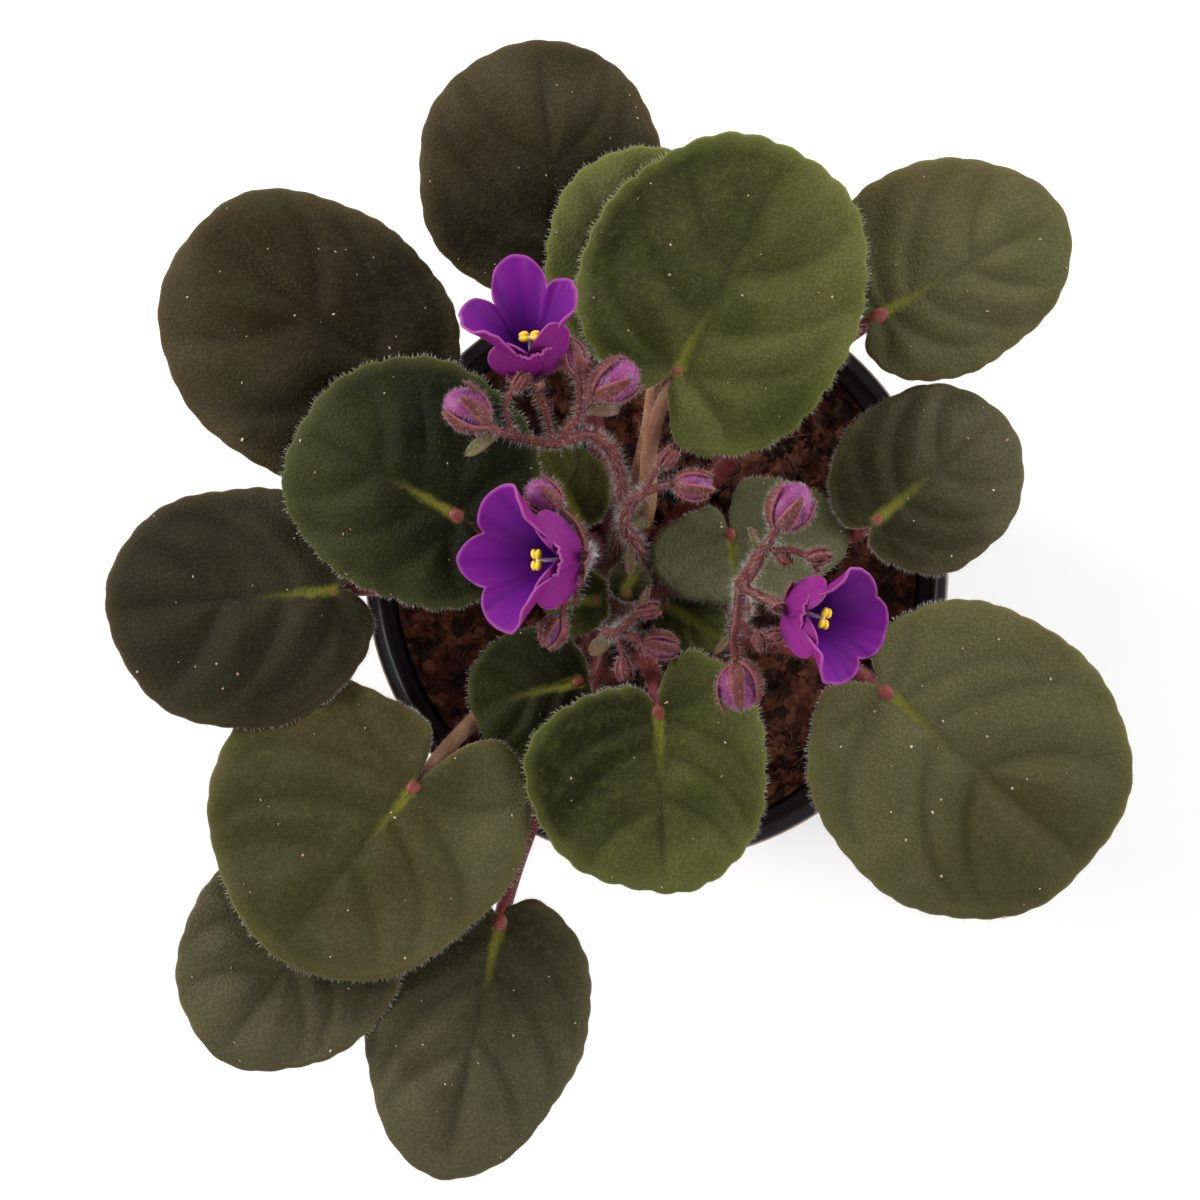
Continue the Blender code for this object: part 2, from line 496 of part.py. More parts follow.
SPRAYS = (
    Spray(
        "spray_a",
        stems=(
            ((-7.8, 3.2, 90, 1.3), (-7.4, 6.0, 93.5, 1.3), (-6.4, 12.0, 101, 1.25), (-7.2, 18.2, 108, 1.2),
             (-9.2, 22.3, 113, 1.15), (-13.6, 24.4, 118, 1.1), (-19.1, 22.6, 120, 1.1)),
            ((-26.8, 24.3, 121.6, 0.6), (-27.7, 29.9, 124, 0.55), (-25.5, 33.1, 125, 0.6)),
        ),
        flowers=(Flower("a", (-22.9, 36.2, 123.0), (-0.06, 0.68, 0.73), (0.06, -0.97, 0.6), (7.4, -0.6),
                        (Petal(190, 21.5, 42, (64, 32), 1.9), Petal(-86, 18.6, 54, (61, 38)),
                         Petal(118, 19.5, 44, (70, 52), 2.2), Petal(-42, 10.5, 50, (70, 86)),
                         Petal(36, 12.0, 48, (70, 86))),
                        ((-19.1, 22.6, 120, 0.9), (-20.6, 28.8, 120.6, 0.75))),),
        buds=(
            Bud("bud_a1", (-34.8, 28.7, 126), (-0.75, 0.55, 0.25), 7.6, 8.6,
                ((-19.1, 22.6, 120, 0.9), (-23.9, 23.4, 121, 0.8), (-28.6, 24.6, 122.4, 0.75))),
            Bud("bud_a2", (-7.7, 34.0, 124), (0.85, 0.5, 0.1), 7.6, 8.6,
                ((-19.1, 22.6, 120, 0.9), (-15.6, 26.4, 121, 0.8), (-13.0, 29.8, 122.6, 0.75))),
            Bud("bud_a3", (-15.6, 38.1, 125.5), (-0.2, 0.95, 0.15), 4.6, 5.2,
                ((-14.6, 27.9, 121.8, 0.65), (-14.5, 32.0, 123.6, 0.6))),
        ),
        bracts=(((-29.3, 24.8, 122.3), (-35.0, 20.6, 119.5), 3.2), ((-13.2, 28.8, 122.2), (-7.3, 28.6, 120.5), 3.0)),
        beads=(((-25.0, 33.8, 125.2), (0.5, 0.8, 0.1), 2.6, 3.4),),
    ),
    Spray(
        "spray_b",
        stems=(
            ((-11.9, 1.1, 90, 1.1), (-12.7, 3.2, 93.5, 1.1), (-13.2, 3.6, 104, 1.05), (-13.3, 1.8, 115.5, 1.0)),
            ((-13.3, 1.8, 115.5, 0.8), (-14.7, -3.0, 115.6, 0.6), (-15.5, -6.6, 115, 0.7)),
        ),
        flowers=(Flower("b", (-15.9, 1.6, 117.0), (-0.72, 0.0, 0.70), (1.0, 0.0, 0.8), (7.4, -1.5),
                        (Petal(180, 21.5, 42, (64, 32), 1.6), Petal(-109, 20.0, 53, (64, 34)),
                         Petal(110, 20.6, 51, (64, 34)), Petal(-45, 12.0, 48, (70, 86)),
                         Petal(45, 12.0, 48, (70, 86))),
                        ((-13.3, 1.8, 115.5, 0.9),)),),
        buds=(
            Bud("bud_b1", (-21.0, 13.2, 119), (-0.75, 0.6, 0.25), 6.0, 7.2,
                ((-13.3, 1.8, 115.5, 0.8), (-13.9, 5.4, 116.2, 0.7), (-15.4, 8.6, 117.0, 0.65))),
            Bud("bud_b2", (-19.2, -11.4, 116), (-0.4, -0.9, 0.0), 4.8, 5.6,
                ((-13.3, 1.8, 115.5, 0.8), (-15.6, -2.6, 118, 0.6), (-17.2, -6.2, 117.4, 0.6))),
        ),
    ),
    Spray(
        "spray_c",
        stems=(
            ((-3.4, 1.8, 90, 1.4), (-3.6, 3.6, 95, 1.4), (-5.9, 8.0, 103, 1.3), (-4.9, 12.4, 109, 1.1),
             (-2.0, 14.3, 112, 0.9)),
            ((-3.0, 13.8, 111.4, 0.7), (-0.8, 17.4, 113.6, 0.55), (1.0, 19.4, 115, 0.6)),
        ),
        buds=(
            Bud("bud_c1", (6.4, 15.2, 114), (1.0, -0.1, 0.1), 5.4, 6.6,
                ((-2.0, 14.3, 112, 0.9), (0.0, 15.0, 112.6, 0.7))),
        ),
        bracts=(((-5.6, 9.4, 104.5), (-1.6, 8.0, 107.0), 2.6), ((-5.3, 4.6, 98.0), (-5.2, -1.2, 102.0), 2.6)),
        beads=(((1.6, 20.2, 115.4), (0.6, 0.8, 0.2), 2.8, 3.6),),
    ),
    Spray(
        "spray_d",
        stems=(
            ((-1.6, -4.3, 89.4, 1.3), (4.5, -3.8, 90.0, 1.3), (10.5, -4.0, 90.8, 1.3), (15.0, -8.2, 93.6, 1.3),
             (15.9, -7.2, 100, 1.25), (15.0, -3.1, 112, 1.25)),
            ((15.0, -3.1, 112, 1.3), (17.4, 0.8, 115.6, 1.3), (18.9, 3.2, 118, 1.2)),
            ((18.9, 3.2, 118, 0.7), (23.7, 3.4, 119, 0.6), (27.6, 2.1, 120, 0.7)),
            ((27.0, 2.3, 119.9, 0.6), (29.0, -0.4, 119.2, 0.6)),
            ((20.4, 3.3, 118.3, 0.6), (22.6, 2.0, 117.8, 0.5)),
            ((14.4, -9.0, 113, 0.7), (17.2, -12.0, 113.2, 0.6), (20.4, -12.4, 113, 0.6)),
        ),
        flowers=(Flower("d", (24.2, -7.4, 121.0), (0.68, -0.19, 0.70), (-1.0, 0.28, 0.8), (7.0, -1.2),
                        (Petal(184, 18.0, 44, (64, 34)), Petal(-111, 16.6, 54, (64, 40)),
                         Petal(107, 17.5, 53, (64, 38)), Petal(-42, 10.0, 48, (70, 86)),
                         Petal(44, 11.0, 48, (70, 86))),
                        ((15.0, -3.1, 112, 1.0), (19.4, -5.4, 116.6, 0.8))),),
        buds=(
            Bud("bud_d1", (23.7, 11.3, 125), (0.5, 0.83, 0.25), 7.8, 8.8,
                ((18.9, 3.2, 118, 0.9), (20.2, 5.4, 120.4, 0.8))),
            Bud("bud_d2", (14.8, -21.6, 113), (0.1, -1.0, 0.05), 7.8, 8.4,
                ((15.0, -3.1, 112, 1.1), (14.4, -8.4, 113, 0.95), (13.6, -13.0, 113, 0.85))),
        ),
        bracts=(((18.6, 2.6, 117.4), (16.4, 7.6, 118.0), 2.0), ((14.0, -11.2, 113), (10.4, -15.4, 111), 1.8)),
        beads=(((28.9, 2.3, 120.6), (0.9, 0.2, 0.3), 2.8, 3.6), ((22.6, 2.0, 117.8), (0.7, -0.6, 0.2), 2.2, 3.0),
               ((18.4, -13.2, 113.6), (0.2, -0.9, 0.3), 2.4, 3.0), ((21.2, -12.2, 113.4), (0.9, 0.2, 0.3), 2.6, 3.2)),
    ),
    Spray(
        "spray_e",
        stems=(
            ((-6.3, -8.8, 90, 1.1), (-6.4, -10.6, 94.5, 1.1), (-8.3, -12.0, 100.5, 1.05), (-9.4, -11.6, 104, 1.0),
             (-7.2, -11.4, 105.4, 0.8), (-5.2, -9.4, 106.4, 0.7), (-3.2, -7.8, 107, 0.7)),
            ((-8.2, -11.5, 105, 0.7), (-7.0, -14.1, 103.8, 0.6), (-6.3, -16.8, 102.4, 0.6)),
        ),
        buds=(
            Bud("bud_e1", (0.6, -13.9, 103.6), (0.95, -0.2, 0.05), 5.0, 6.0,
                ((-7.6, -11.6, 105.2, 0.8), (-5.2, -12.2, 105, 0.7))),
        ),
        bracts=(((-3.6, -8.0, 106.8), (-1.8, -3.4, 108.0), 2.0), ((-8.4, -12.0, 101.0), (-12.6, -15.6, 99.6), 4.0)),
        beads=(((-1.9, -7.4, 107.2), (0.9, 0.2, 0.1), 3.0, 3.8), ((-6.1, -18.4, 101.8), (0.1, -0.9, -0.1), 3.4, 4.2)),
    ),
)


def axes_along(axis, beside):
    """Three unit directions: along the axis, the part of beside that is square to it, and the third one."""
    along = Vector(axis).normalized()
    first = (Vector(beside) - along * along.dot(Vector(beside))).normalized()
    return along, first, along.cross(first)


def bud_axes(bud):
    return axes_along(bud.axis, (0.0, 0.0, 1.0))


def sepal_star(angle):
    """Reach of the five sepals round a calyx, as a share of the longest."""
    return 0.5 + 0.5 * abs(math.cos(2.5 * angle))


def closed_calyx(bud):
    """Sepals that wrap a bud from its foot to past its middle."""
    along, first, second = bud_axes(bud)
    girth = 0.5 * bud.width + SEPAL_GAP
    height = 0.5 * bud.length + SEPAL_GAP

    def shape(reach, angle):
        turn = SEPAL_SPREAD * reach * sepal_star(angle)
        ring = math.cos(angle) * first + math.sin(angle) * second
        return Vector(bud.centre) + girth * math.sin(turn) * ring - height * math.cos(turn) * along

    return sheet(spun_disc(10, 2), shape, SEPAL_THICKNESS, RED_STEM)


def pedicel_to(knots, foot, radius):
    return stem(*knots, (*foot, radius))


def bud_foot(bud):
    """Where the pedicel ends, within the thickness of the sepals."""
    return Vector(bud.centre) - (0.5 * bud.length + SEPAL_GAP + 0.4 * SEPAL_THICKNESS) * bud_axes(bud)[0]


def petal_share(petal, angle):
    """How far an angle is from a petal's middle, as a share of its half angle."""
    off = (math.degrees(angle) - petal.way + 180) % 360 - 180
    return min(abs(off) / petal.half_angle, 1.0)


def petal_edge(flower, angle):
    """Distance of the corolla's edge from the throat, along its face: that of the furthest petal."""
    furthest = 0.0
    for petal in flower.petals:
        share = petal_share(petal, angle)
        if share < 1:
            fullness = (1 - share ** petal.bluntness) ** (1 / petal.bluntness)
            furthest = max(furthest, petal.reach * (FULLEST + (1 - FULLEST) * fullness))
    return furthest


def bell(flower, distance, angle):
    """Run from the axis and rise over the foot, at a distance along the corolla's face. Each petal bends
    as an arc, and the arcs are blended between petals."""
    weights = [(1 - petal_share(petal, angle)) ** 2 for petal in flower.petals]
    total = sum(weights)
    low, high, length = (sum(weight * value for weight, value in zip(weights, values)) / total
                         for values in zip(*((*petal.leans, petal.reach) for petal in flower.petals)))
    low, high = math.radians(low), math.radians(high)
    past = max(0.0, distance - TUBE_RADIUS)
    lean = low + (high - low) * past / length
    run = min(distance, TUBE_RADIUS) + length * (math.sin(lean) - math.sin(low)) / (high - low)
    return run, length * (math.cos(low) - math.cos(lean)) / (high - low)


def corolla(flower):
    facing, crest, side = axes_along(flower.facing, flower.crest)

    def shape(reach, angle):
        run, rise = bell(flower, reach * petal_edge(flower, angle), angle)
        return Vector(flower.foot) + run * (math.cos(angle) * crest + math.sin(angle) * side) + rise * facing

    fuse("corolla_" + flower.name, [sheet(spun_disc(32, 3), shape, PETAL_THICKNESS, VIOLET_PETAL)], VIOLET_PETAL)


def open_calyx(flower):
    """Sepals that spread out below an open corolla."""
    facing, crest, side = axes_along(flower.facing, flower.crest)
    behind = PETAL_THICKNESS + 0.55

    def shape(reach, angle):
        out = 4.8 * reach * sepal_star(angle)
        return (Vector(flower.foot) + out * (math.cos(angle) * crest + math.sin(angle) * side)
                + (0.3 * out - behind) * facing)

    return sheet(spun_disc(10, 2), shape, SEPAL_THICKNESS, RED_STEM)


def anthers(flower):
    """Two anthers of two lobes each, on a filament that starts just over the throat."""
    facing, crest, side = axes_along(flower.facing, flower.crest)
    foot = Vector(flower.foot)
    head = foot + flower.head[0] * facing + flower.head[1] * crest
    pieces = [tube([foot + 1.4 * facing, head], [0.5, 0.6])]
    for sideways in (-1.0, 1.0):
        for up in (-0.55, 0.55):
            place = head + 1.05 * sideways * side + up * crest
            pieces.append(ball(place, side + 0.4 * up * crest, 1.25, 1.9, YELLOW_ANTHER, 6, 4))
    fuse("anthers_" + flower.name, pieces, YELLOW_ANTHER)


def bract(foot, tip, width):
    """A small pointed leaf on a stem."""
    foot, tip = Vector(foot), Vector(tip)
    along, first, second = axes_along(tip - foot, (0.0, 0.0, 1.0))

    def shape(reach, angle):
        run = 0.5 + 0.5 * reach * math.cos(angle)
        taper = 1 - 0.45 * run
        arch = 0.12 * (tip - foot).length * math.sin(math.pi * run)
        return foot + run * (tip - foot) + 0.6 * width * taper * reach * math.sin(angle) * second + arch * first

    return sheet(spun_disc(10, 1), shape, SEPAL_THICKNESS, RED_STEM)


def make_sprays():
    for spray in SPRAYS:
        pieces = [stem(*knots) for knots in spray.stems]
        for bud in spray.buds:
            pieces += [closed_calyx(bud), pedicel_to(bud.pedicel, bud_foot(bud), 0.8)]
            ball(bud.centre, bud.axis, bud.width, bud.length, MAUVE_BUD, 8, 6, bud.name, plant)
        for flower in spray.flowers:
            foot = Vector(flower.foot) - (PETAL_THICKNESS + 0.8) * Vector(flower.facing).normalized()
            pieces += [open_calyx(flower), pedicel_to(flower.pedicel, foot, 0.9)]
            corolla(flower)
            anthers(flower)
        pieces += [bract(*shape) for shape in spray.bracts]
        pieces += [ball(*bead, RED_STEM, 6, 4) for bead in spray.beads]
        fuse(spray.name, pieces, RED_STEM)


make_pot()
make_soil()
make_crown()
make_leaves()
make_sprays()
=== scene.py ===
"""The looks of a potted African violet: black nursery pot, peat and coir soil, velvety leaves, hairy sprays.

Lengths are millimetres and are turned to metres where a mesh is made. Every leaf, spray, flower and bud is
grown again here from the same values as its solid, with finer form, and takes that solid's place.
"""

import math
from dataclasses import dataclass

import bmesh
import bpy
import numpy as np
from mathutils import Matrix, Vector, noise


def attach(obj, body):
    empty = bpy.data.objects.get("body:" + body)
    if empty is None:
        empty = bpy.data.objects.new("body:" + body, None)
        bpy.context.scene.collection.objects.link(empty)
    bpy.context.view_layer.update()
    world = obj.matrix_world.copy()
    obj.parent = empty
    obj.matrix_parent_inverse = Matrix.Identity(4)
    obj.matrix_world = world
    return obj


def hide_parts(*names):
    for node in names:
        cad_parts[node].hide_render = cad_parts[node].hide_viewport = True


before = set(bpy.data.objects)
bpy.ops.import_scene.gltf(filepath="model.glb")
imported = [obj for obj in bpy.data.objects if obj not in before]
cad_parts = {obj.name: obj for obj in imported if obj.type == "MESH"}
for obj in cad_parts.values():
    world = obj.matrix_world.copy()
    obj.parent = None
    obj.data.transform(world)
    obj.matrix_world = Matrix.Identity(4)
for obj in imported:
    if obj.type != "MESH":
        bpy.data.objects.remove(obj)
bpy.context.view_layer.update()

MM = 0.001


# ---------------------------------------------------------------- room, lights and camera
# A plain pale floor under the pot and four wide soft lamps round it, the left one the strongest.
# The camera hangs one metre over the floor and looks straight down.

FLOOR_REACH = 2.5            # metres from the middle to the floor's edges
AIM = (0.0, 0.0, 0.09)       # metres; what the lamps face
SKY_STRENGTH = 0.34
LENS = 145.76
CAMERA_AT = (-10.73, -5.65, 1000.0)


class Value:
    """A number or a colour in a finish. Arithmetic on it adds Math nodes."""

    def __init__(self, finish, socket):
        self.finish = finish
        self.socket = socket

    def maths(self, operation, *others):
        return self.finish.node("Math", {"operation": operation}, dict(enumerate((self, *others))))

    def __add__(self, other):
        return self.maths("ADD", other)

    def __sub__(self, other):
        return self.maths("SUBTRACT", other)

    def __rsub__(self, other):
        return self.finish.node("Math", {"operation": "SUBTRACT"}, {0: other, 1: self})

    def __mul__(self, other):
        return self.maths("MULTIPLY", other)

    def __pow__(self, other):
        return self.maths("POWER", other)

    __radd__ = __add__
    __rmul__ = __mul__

    def size(self):
        return self.maths("ABSOLUTE")

    def rise(self, low, high):
        """0 below low, 1 above high and smooth between; a high below low turns it round."""
        span = {"data_type": "FLOAT", "interpolation_type": "SMOOTHSTEP"}
        if low < high:
            return self.finish.node("MapRange", span, {0: self, 1: low, 2: high, 3: 0.0, 4: 1.0})
        return self.finish.node("MapRange", span, {0: self, 1: high, 2: low, 3: 1.0, 4: 0.0})


class Finish:
    """A material in the making, with the Principled shader that it ends in."""

    def __init__(self, name):
        self.material = bpy.data.materials.new(name)
        self.material.use_nodes = True
        self.tree = self.material.node_tree
        self.shader = self.tree.nodes["Principled BSDF"]

    def put(self, made, inputs):
        for key, value in inputs.items():
            if isinstance(value, Value):
                self.tree.links.new(value.socket, made.inputs[key])
            elif isinstance(value, tuple) and len(value) == 3 and made.inputs[key].type == "RGBA":
                made.inputs[key].default_value = (*value, 1.0)
            else:
                made.inputs[key].default_value = value

    def node(self, kind, settings=None, inputs=None, output=0):
        made = self.tree.nodes.new("ShaderNode" + kind)
        settings = dict(settings or {})
        stops = settings.pop("stops", None)
        for key, value in settings.items():
            setattr(made, key, value)
        if stops:
            ramp = made.color_ramp
            while len(ramp.elements) < len(stops):
                ramp.elements.new(0.5)
            for element, (place, colour) in zip(ramp.elements, stops):
                element.position = place
                element.color = (*colour, 1.0)
        self.put(made, inputs or {})
        return Value(self, made.outputs[output])

    def mix(self, share, first, second):
        return self.node("Mix", {"data_type": "RGBA"}, {0: share, 6: first, 7: second}, 2)

    def place(self):
        return self.node("TexCoord", output="Object")

    def cloud(self, size, detail=3.0):
        """Noise whose patches are about size millimetres across."""
        return self.node("TexNoise", {"noise_dimensions": "3D"}, {
            "Vector": self.place(), "Scale": 1 / (size * MM), "Detail": detail, "Roughness": 0.55})

    def attribute(self, name, output):
        return self.node("Attribute", {"attribute_name": name}, output=output)

    def split(self, vector):
        made = self.tree.nodes.new("ShaderNodeSeparateXYZ")
        self.tree.links.new(vector.socket, made.inputs[0])
        return [Value(self, socket) for socket in made.outputs]

    def bump(self, height, depth, strength=1.0):
        """Relief of about depth millimetres."""
        return self.node("Bump", inputs={"Height": height, "Distance": depth * MM, "Strength": strength})

    def done(self, **inputs):
        self.put(self.shader, {key.replace("_", " "): value for key, value in inputs.items()})
        return self.material


def piece_of(mesh, name, *materials):
    mesh.name = name
    for material in materials:
        mesh.materials.append(material)
    mesh.shade_smooth()
    piece = bpy.data.objects.new(name, mesh)
    bpy.context.scene.collection.objects.link(piece)
    return piece


def mesh_from(made, name):
    mesh = bpy.data.meshes.new(name)
    made.to_mesh(mesh)
    made.free()
    return mesh


paper = Finish("pale_floor")
floor_finish = paper.done(
    Base_Color=paper.mix(paper.cloud(40.0), (0.97, 0.97, 0.97), (0.985, 0.985, 0.985)), Roughness=0.9)
slab = bmesh.new()
bmesh.ops.create_grid(slab, x_segments=2, y_segments=2, size=FLOOR_REACH)
floor = piece_of(mesh_from(slab, "floor"), "floor", floor_finish)


def softbox(name, at, size, watts, colour=(1.0, 1.0, 1.0)):
    """A round soft lamp that faces the plant."""
    light = bpy.data.lights.new(name, "AREA")
    light.shape = "DISK"
    light.size = size
    light.energy = watts
    light.color = colour
    holder = bpy.data.objects.new(name, light)
    holder.location = at
    holder.rotation_euler = (Vector(AIM) - Vector(at)).to_track_quat("-Z", "Y").to_euler()
    holder.visible_camera = False
    bpy.context.scene.collection.objects.link(holder)


softbox("left_box", (-1.05, 0.35, 0.62), 0.6, 15.5, (1.0, 0.985, 0.96))
softbox("right_box", (1.05, 0.25, 0.55), 0.8, 10.5)
softbox("back_box", (0.15, 1.10, 0.60), 0.8, 8.0)
softbox("front_box", (-0.10, -1.10, 0.60), 0.8, 5.0)
sky = bpy.data.worlds.new("studio")
bpy.context.scene.world = sky
sky.use_nodes = True
backdrop = sky.node_tree.nodes["Background"].inputs
backdrop["Color"].default_value = (1.0, 1.0, 1.0, 1.0)
backdrop["Strength"].default_value = SKY_STRENGTH

eye = bpy.data.cameras.new("camera")
eye.sensor_width = 36.0
eye.lens = LENS
eye.clip_start = 0.05
camera = bpy.data.objects.new("camera", eye)
camera.location = MM * Vector(CAMERA_AT)
bpy.context.scene.collection.objects.link(camera)
bpy.context.scene.camera = camera
bpy.context.scene.view_settings.view_transform = "Standard"


# ---------------------------------------------------------------- pot
# A thin black nursery pot, blown from recycled plastic. Its rim is a band that stands out over a step, the
# top edge is rounded, and six drain holes are punched in the floor.

POT_HEIGHT = 85.0
RIM_RADIUS = 55.0
RIM_BAND = 10.0
BASE_RADIUS = 38.0
POT_WALL = 1.2
POT_FLOOR = 1.6
DRAIN_HOLES = 6
DRAIN_CIRCLE = 27.0
DRAIN_RADIUS = 2.6
STEP = 3.2                   # from the rim's face in to the wall under its band
TRUE_CORNER = 48.0           # degrees past which the pot's edges are sharp


def inner_wall(height):
    """Radius of the pot's inside at a height."""
    share = (height - POT_FLOOR) / (POT_HEIGHT - RIM_BAND - POT_FLOOR)
    return BASE_RADIUS - POT_WALL + share * (RIM_RADIUS - STEP - BASE_RADIUS)


def evaluated(piece):
    """The piece's mesh as its modifiers leave it; the piece itself is removed."""
    depsgraph = bpy.context.evaluated_depsgraph_get()
    mesh = bpy.data.meshes.new_from_object(piece.evaluated_get(depsgraph))
    bpy.data.objects.remove(piece)
    return mesh


def spun(points, steps, weld):
    """A mesh spun a full turn round Z from a row of points."""
    made = bmesh.new()
    row = [made.verts.new(point) for point in points]
    lines = [made.edges.new(pair) for pair in zip(row, row[1:])]
    bmesh.ops.spin(made, geom=row + lines, cent=(0, 0, 0), axis=(0, 0, 1), angle=2 * math.pi,
                   steps=steps, use_merge=True)
    bmesh.ops.remove_doubles(made, verts=made.verts, dist=weld)
    return made


def turned(profile, steps):
    """A mesh turned round the pot's axis from a profile of (radius, height)."""
    made = spun([(radius * MM, 0.0, height * MM) for radius, height in profile], steps, 0.002 * MM)
    bmesh.ops.recalc_face_normals(made, faces=made.faces)
    return made


def hand_over(piece, node):
    """Fix the piece to the plant's one body, in place of its solid."""
    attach(piece, "root")
    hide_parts(node)


shoulder = POT_HEIGHT - RIM_BAND
bore = inner_wall(shoulder)


def corner(radius, height, *steps):
    """Points of a profile near one of its corners, each (out, up) from it."""
    return [(radius + out, height + up) for out, up in steps]


wall_profile = (
    (0.0, POT_FLOOR),
    *corner(BASE_RADIUS - POT_WALL, POT_FLOOR, (-1.4, 0), (-0.4, 0.35), (0.1, 1.4)),
    (inner_wall(20), 20), (inner_wall(45), 45),
    *corner(bore, shoulder, (-0.2, -0.8), (0, 0), (0.35, 0.7), (1.0, 1.2), (1.15, 2.2)),
    *corner(bore, POT_HEIGHT, (1.2, -4.0), (1.25, -3.7), (1.6, -1.0), (1.8, -0.55), (2.1, -0.3)),
    *corner(RIM_RADIUS, POT_HEIGHT, (-1.5, -0.05), (-0.8, 0), (-0.3, -0.15), (0, -0.7), (0, -1.6),
            (-0.2, -1.9)),
    *corner(RIM_RADIUS, shoulder, (-0.35, 2.6), (-0.1, 2.2), (0, 1.6), (0, 0.7), (-0.35, 0.3)),
    *corner(bore + POT_WALL, shoulder, (0.5, -0.1), (0, -0.7)),
    (inner_wall(45) + POT_WALL, 45), (inner_wall(20) + POT_WALL, 20),
    *corner(BASE_RADIUS, 0, (0.1, 1.6), (-0.2, 0.6), (-0.9, 0.05), (-1.2, 0)),
    (0.0, 0.0),
)
pot_shell = piece_of(mesh_from(turned(wall_profile, 144), "pot_shell"), "pot_shell")
punches = []
for hole in range(DRAIN_HOLES):
    angle = 2 * math.pi * hole / DRAIN_HOLES
    punch = bmesh.new()
    middle = (DRAIN_CIRCLE * MM * math.cos(angle), DRAIN_CIRCLE * MM * math.sin(angle), 0.0)
    bmesh.ops.create_cone(punch, cap_ends=True, segments=32, radius1=DRAIN_RADIUS * MM,
                          radius2=DRAIN_RADIUS * MM, depth=6 * MM, matrix=Matrix.Translation(middle))
    punches.append(piece_of(mesh_from(punch, "punch"), "punch"))
    cut = pot_shell.modifiers.new("drain", "BOOLEAN")
    cut.operation = "DIFFERENCE"
    cut.object = punches[-1]
pot_mesh = evaluated(pot_shell)
for punch in punches:
    bpy.data.objects.remove(punch)

plastic = Finish("black_pot_plastic")
east, north, up = plastic.split(plastic.place())
radius = (east * east + north * north) ** 0.5
dust = plastic.cloud(9.0, 5.0).rise(0.52, 0.75)
scuffs = plastic.cloud(0.6, 2.0).rise(0.66, 0.8)
# Painted light: a tan line along the rim's rounded outer top edge, where light shines through the thin
# plastic.
lit_rim_edge = radius.rise((RIM_RADIUS - 0.55) * MM, (RIM_RADIUS - 0.25) * MM)
lit_rim_edge = lit_rim_edge * up.rise((POT_HEIGHT - 1.5) * MM, (POT_HEIGHT - 0.9) * MM)
black = plastic.mix(dust * 0.5, (0.016, 0.014, 0.017), (0.040, 0.032, 0.034))
black = plastic.mix(scuffs * 0.35, black, (0.10, 0.085, 0.08))
pot_finish = plastic.done(
    Base_Color=plastic.mix(lit_rim_edge * 0.8, black, (0.36, 0.25, 0.17)),
    Roughness=plastic.cloud(4.0, 4.0) * 0.25 + 0.24,
    Normal=plastic.bump(plastic.cloud(0.5, 3.0), 0.05, 0.4),
)
pot = piece_of(pot_mesh, "nursery_pot", pot_finish)
pot.data.set_sharp_from_angle(angle=math.radians(TRUE_CORNER))
hand_over(pot, "pot")


# ---------------------------------------------------------------- soil
# Reddish-brown peat and coir: a lumpy bed with loose chips, crumbs and short fibres lying on it. The crumbs
# are copies of a few rough stones, turned and stretched by a seeded draw.

SOIL_LEVEL = 75.0
GAP = 0.3                    # between pieces that touch
CRUMBS = ((1500, 0.7, 1.8), (800, 1.4, 2.8), (220, 2.4, 4.6))   # how many, from what size to what size
STRANDS = 420
STRAND_WIDTH = 0.32
SOIL_SEED = 7


def soil_height(x, y):
    """Height of the bed's surface, in millimetres."""
    spot = Vector((x, y, 0.0))
    lump = noise.noise(Vector((x, y, SOIL_LEVEL)) / 7.0) + 0.6 * noise.noise(Vector((x, y, SOIL_LEVEL)) / 3.0)
    crumb = noise.noise(spot / 1.7) + 0.6 * noise.noise(spot / 0.9)
    return SOIL_LEVEL + 1.3 * lump + 0.55 * crumb - 1.5 * (math.hypot(x, y) / 50.0) ** 2 - 0.3


bed_steps = [(inner_wall(shoulder - 3) - 0.4) * (1 - step / 64) for step in range(65)]
bed = turned([(0.0, POT_FLOOR + GAP), (inner_wall(POT_FLOOR + GAP) - 0.5, POT_FLOOR + GAP),
              *((reach, SOIL_LEVEL) for reach in bed_steps)], 200)
for point in bed.verts:
    if point.co.z > 60 * MM:
        x, y = point.co.x / MM, point.co.y / MM
        point.co.z = MM * soil_height(x, y)
bmesh.ops.recalc_face_normals(bed, faces=bed.faces)

rng = np.random.default_rng(SOIL_SEED)
ALL_ROUND = 6.28             # near enough a full turn, for random ones


def rough_stone(seed, subdivisions=1):
    """A small lump about 1 across, as a mesh of a few dozen faces."""
    stone = bmesh.new()
    bmesh.ops.create_icosphere(stone, subdivisions=subdivisions, radius=0.5)
    for point in stone.verts:
        point.co *= 1 + 0.45 * noise.noise(point.co * 1.7 + Vector((seed, 3 * seed, 0)))
    return mesh_from(stone, "stone")


def hair_cone():
    """A closed three-sided hair, 1 across at its root and 1 long, standing on the origin."""
    cone = bmesh.new()
    bmesh.ops.create_cone(cone, cap_ends=True, segments=3, radius1=0.5, radius2=0.0, depth=1.0,
                          matrix=Matrix.Translation((0, 0, 0.5)))
    bmesh.ops.remove_doubles(cone, verts=cone.verts, dist=0.001)
    return mesh_from(cone, "hair")


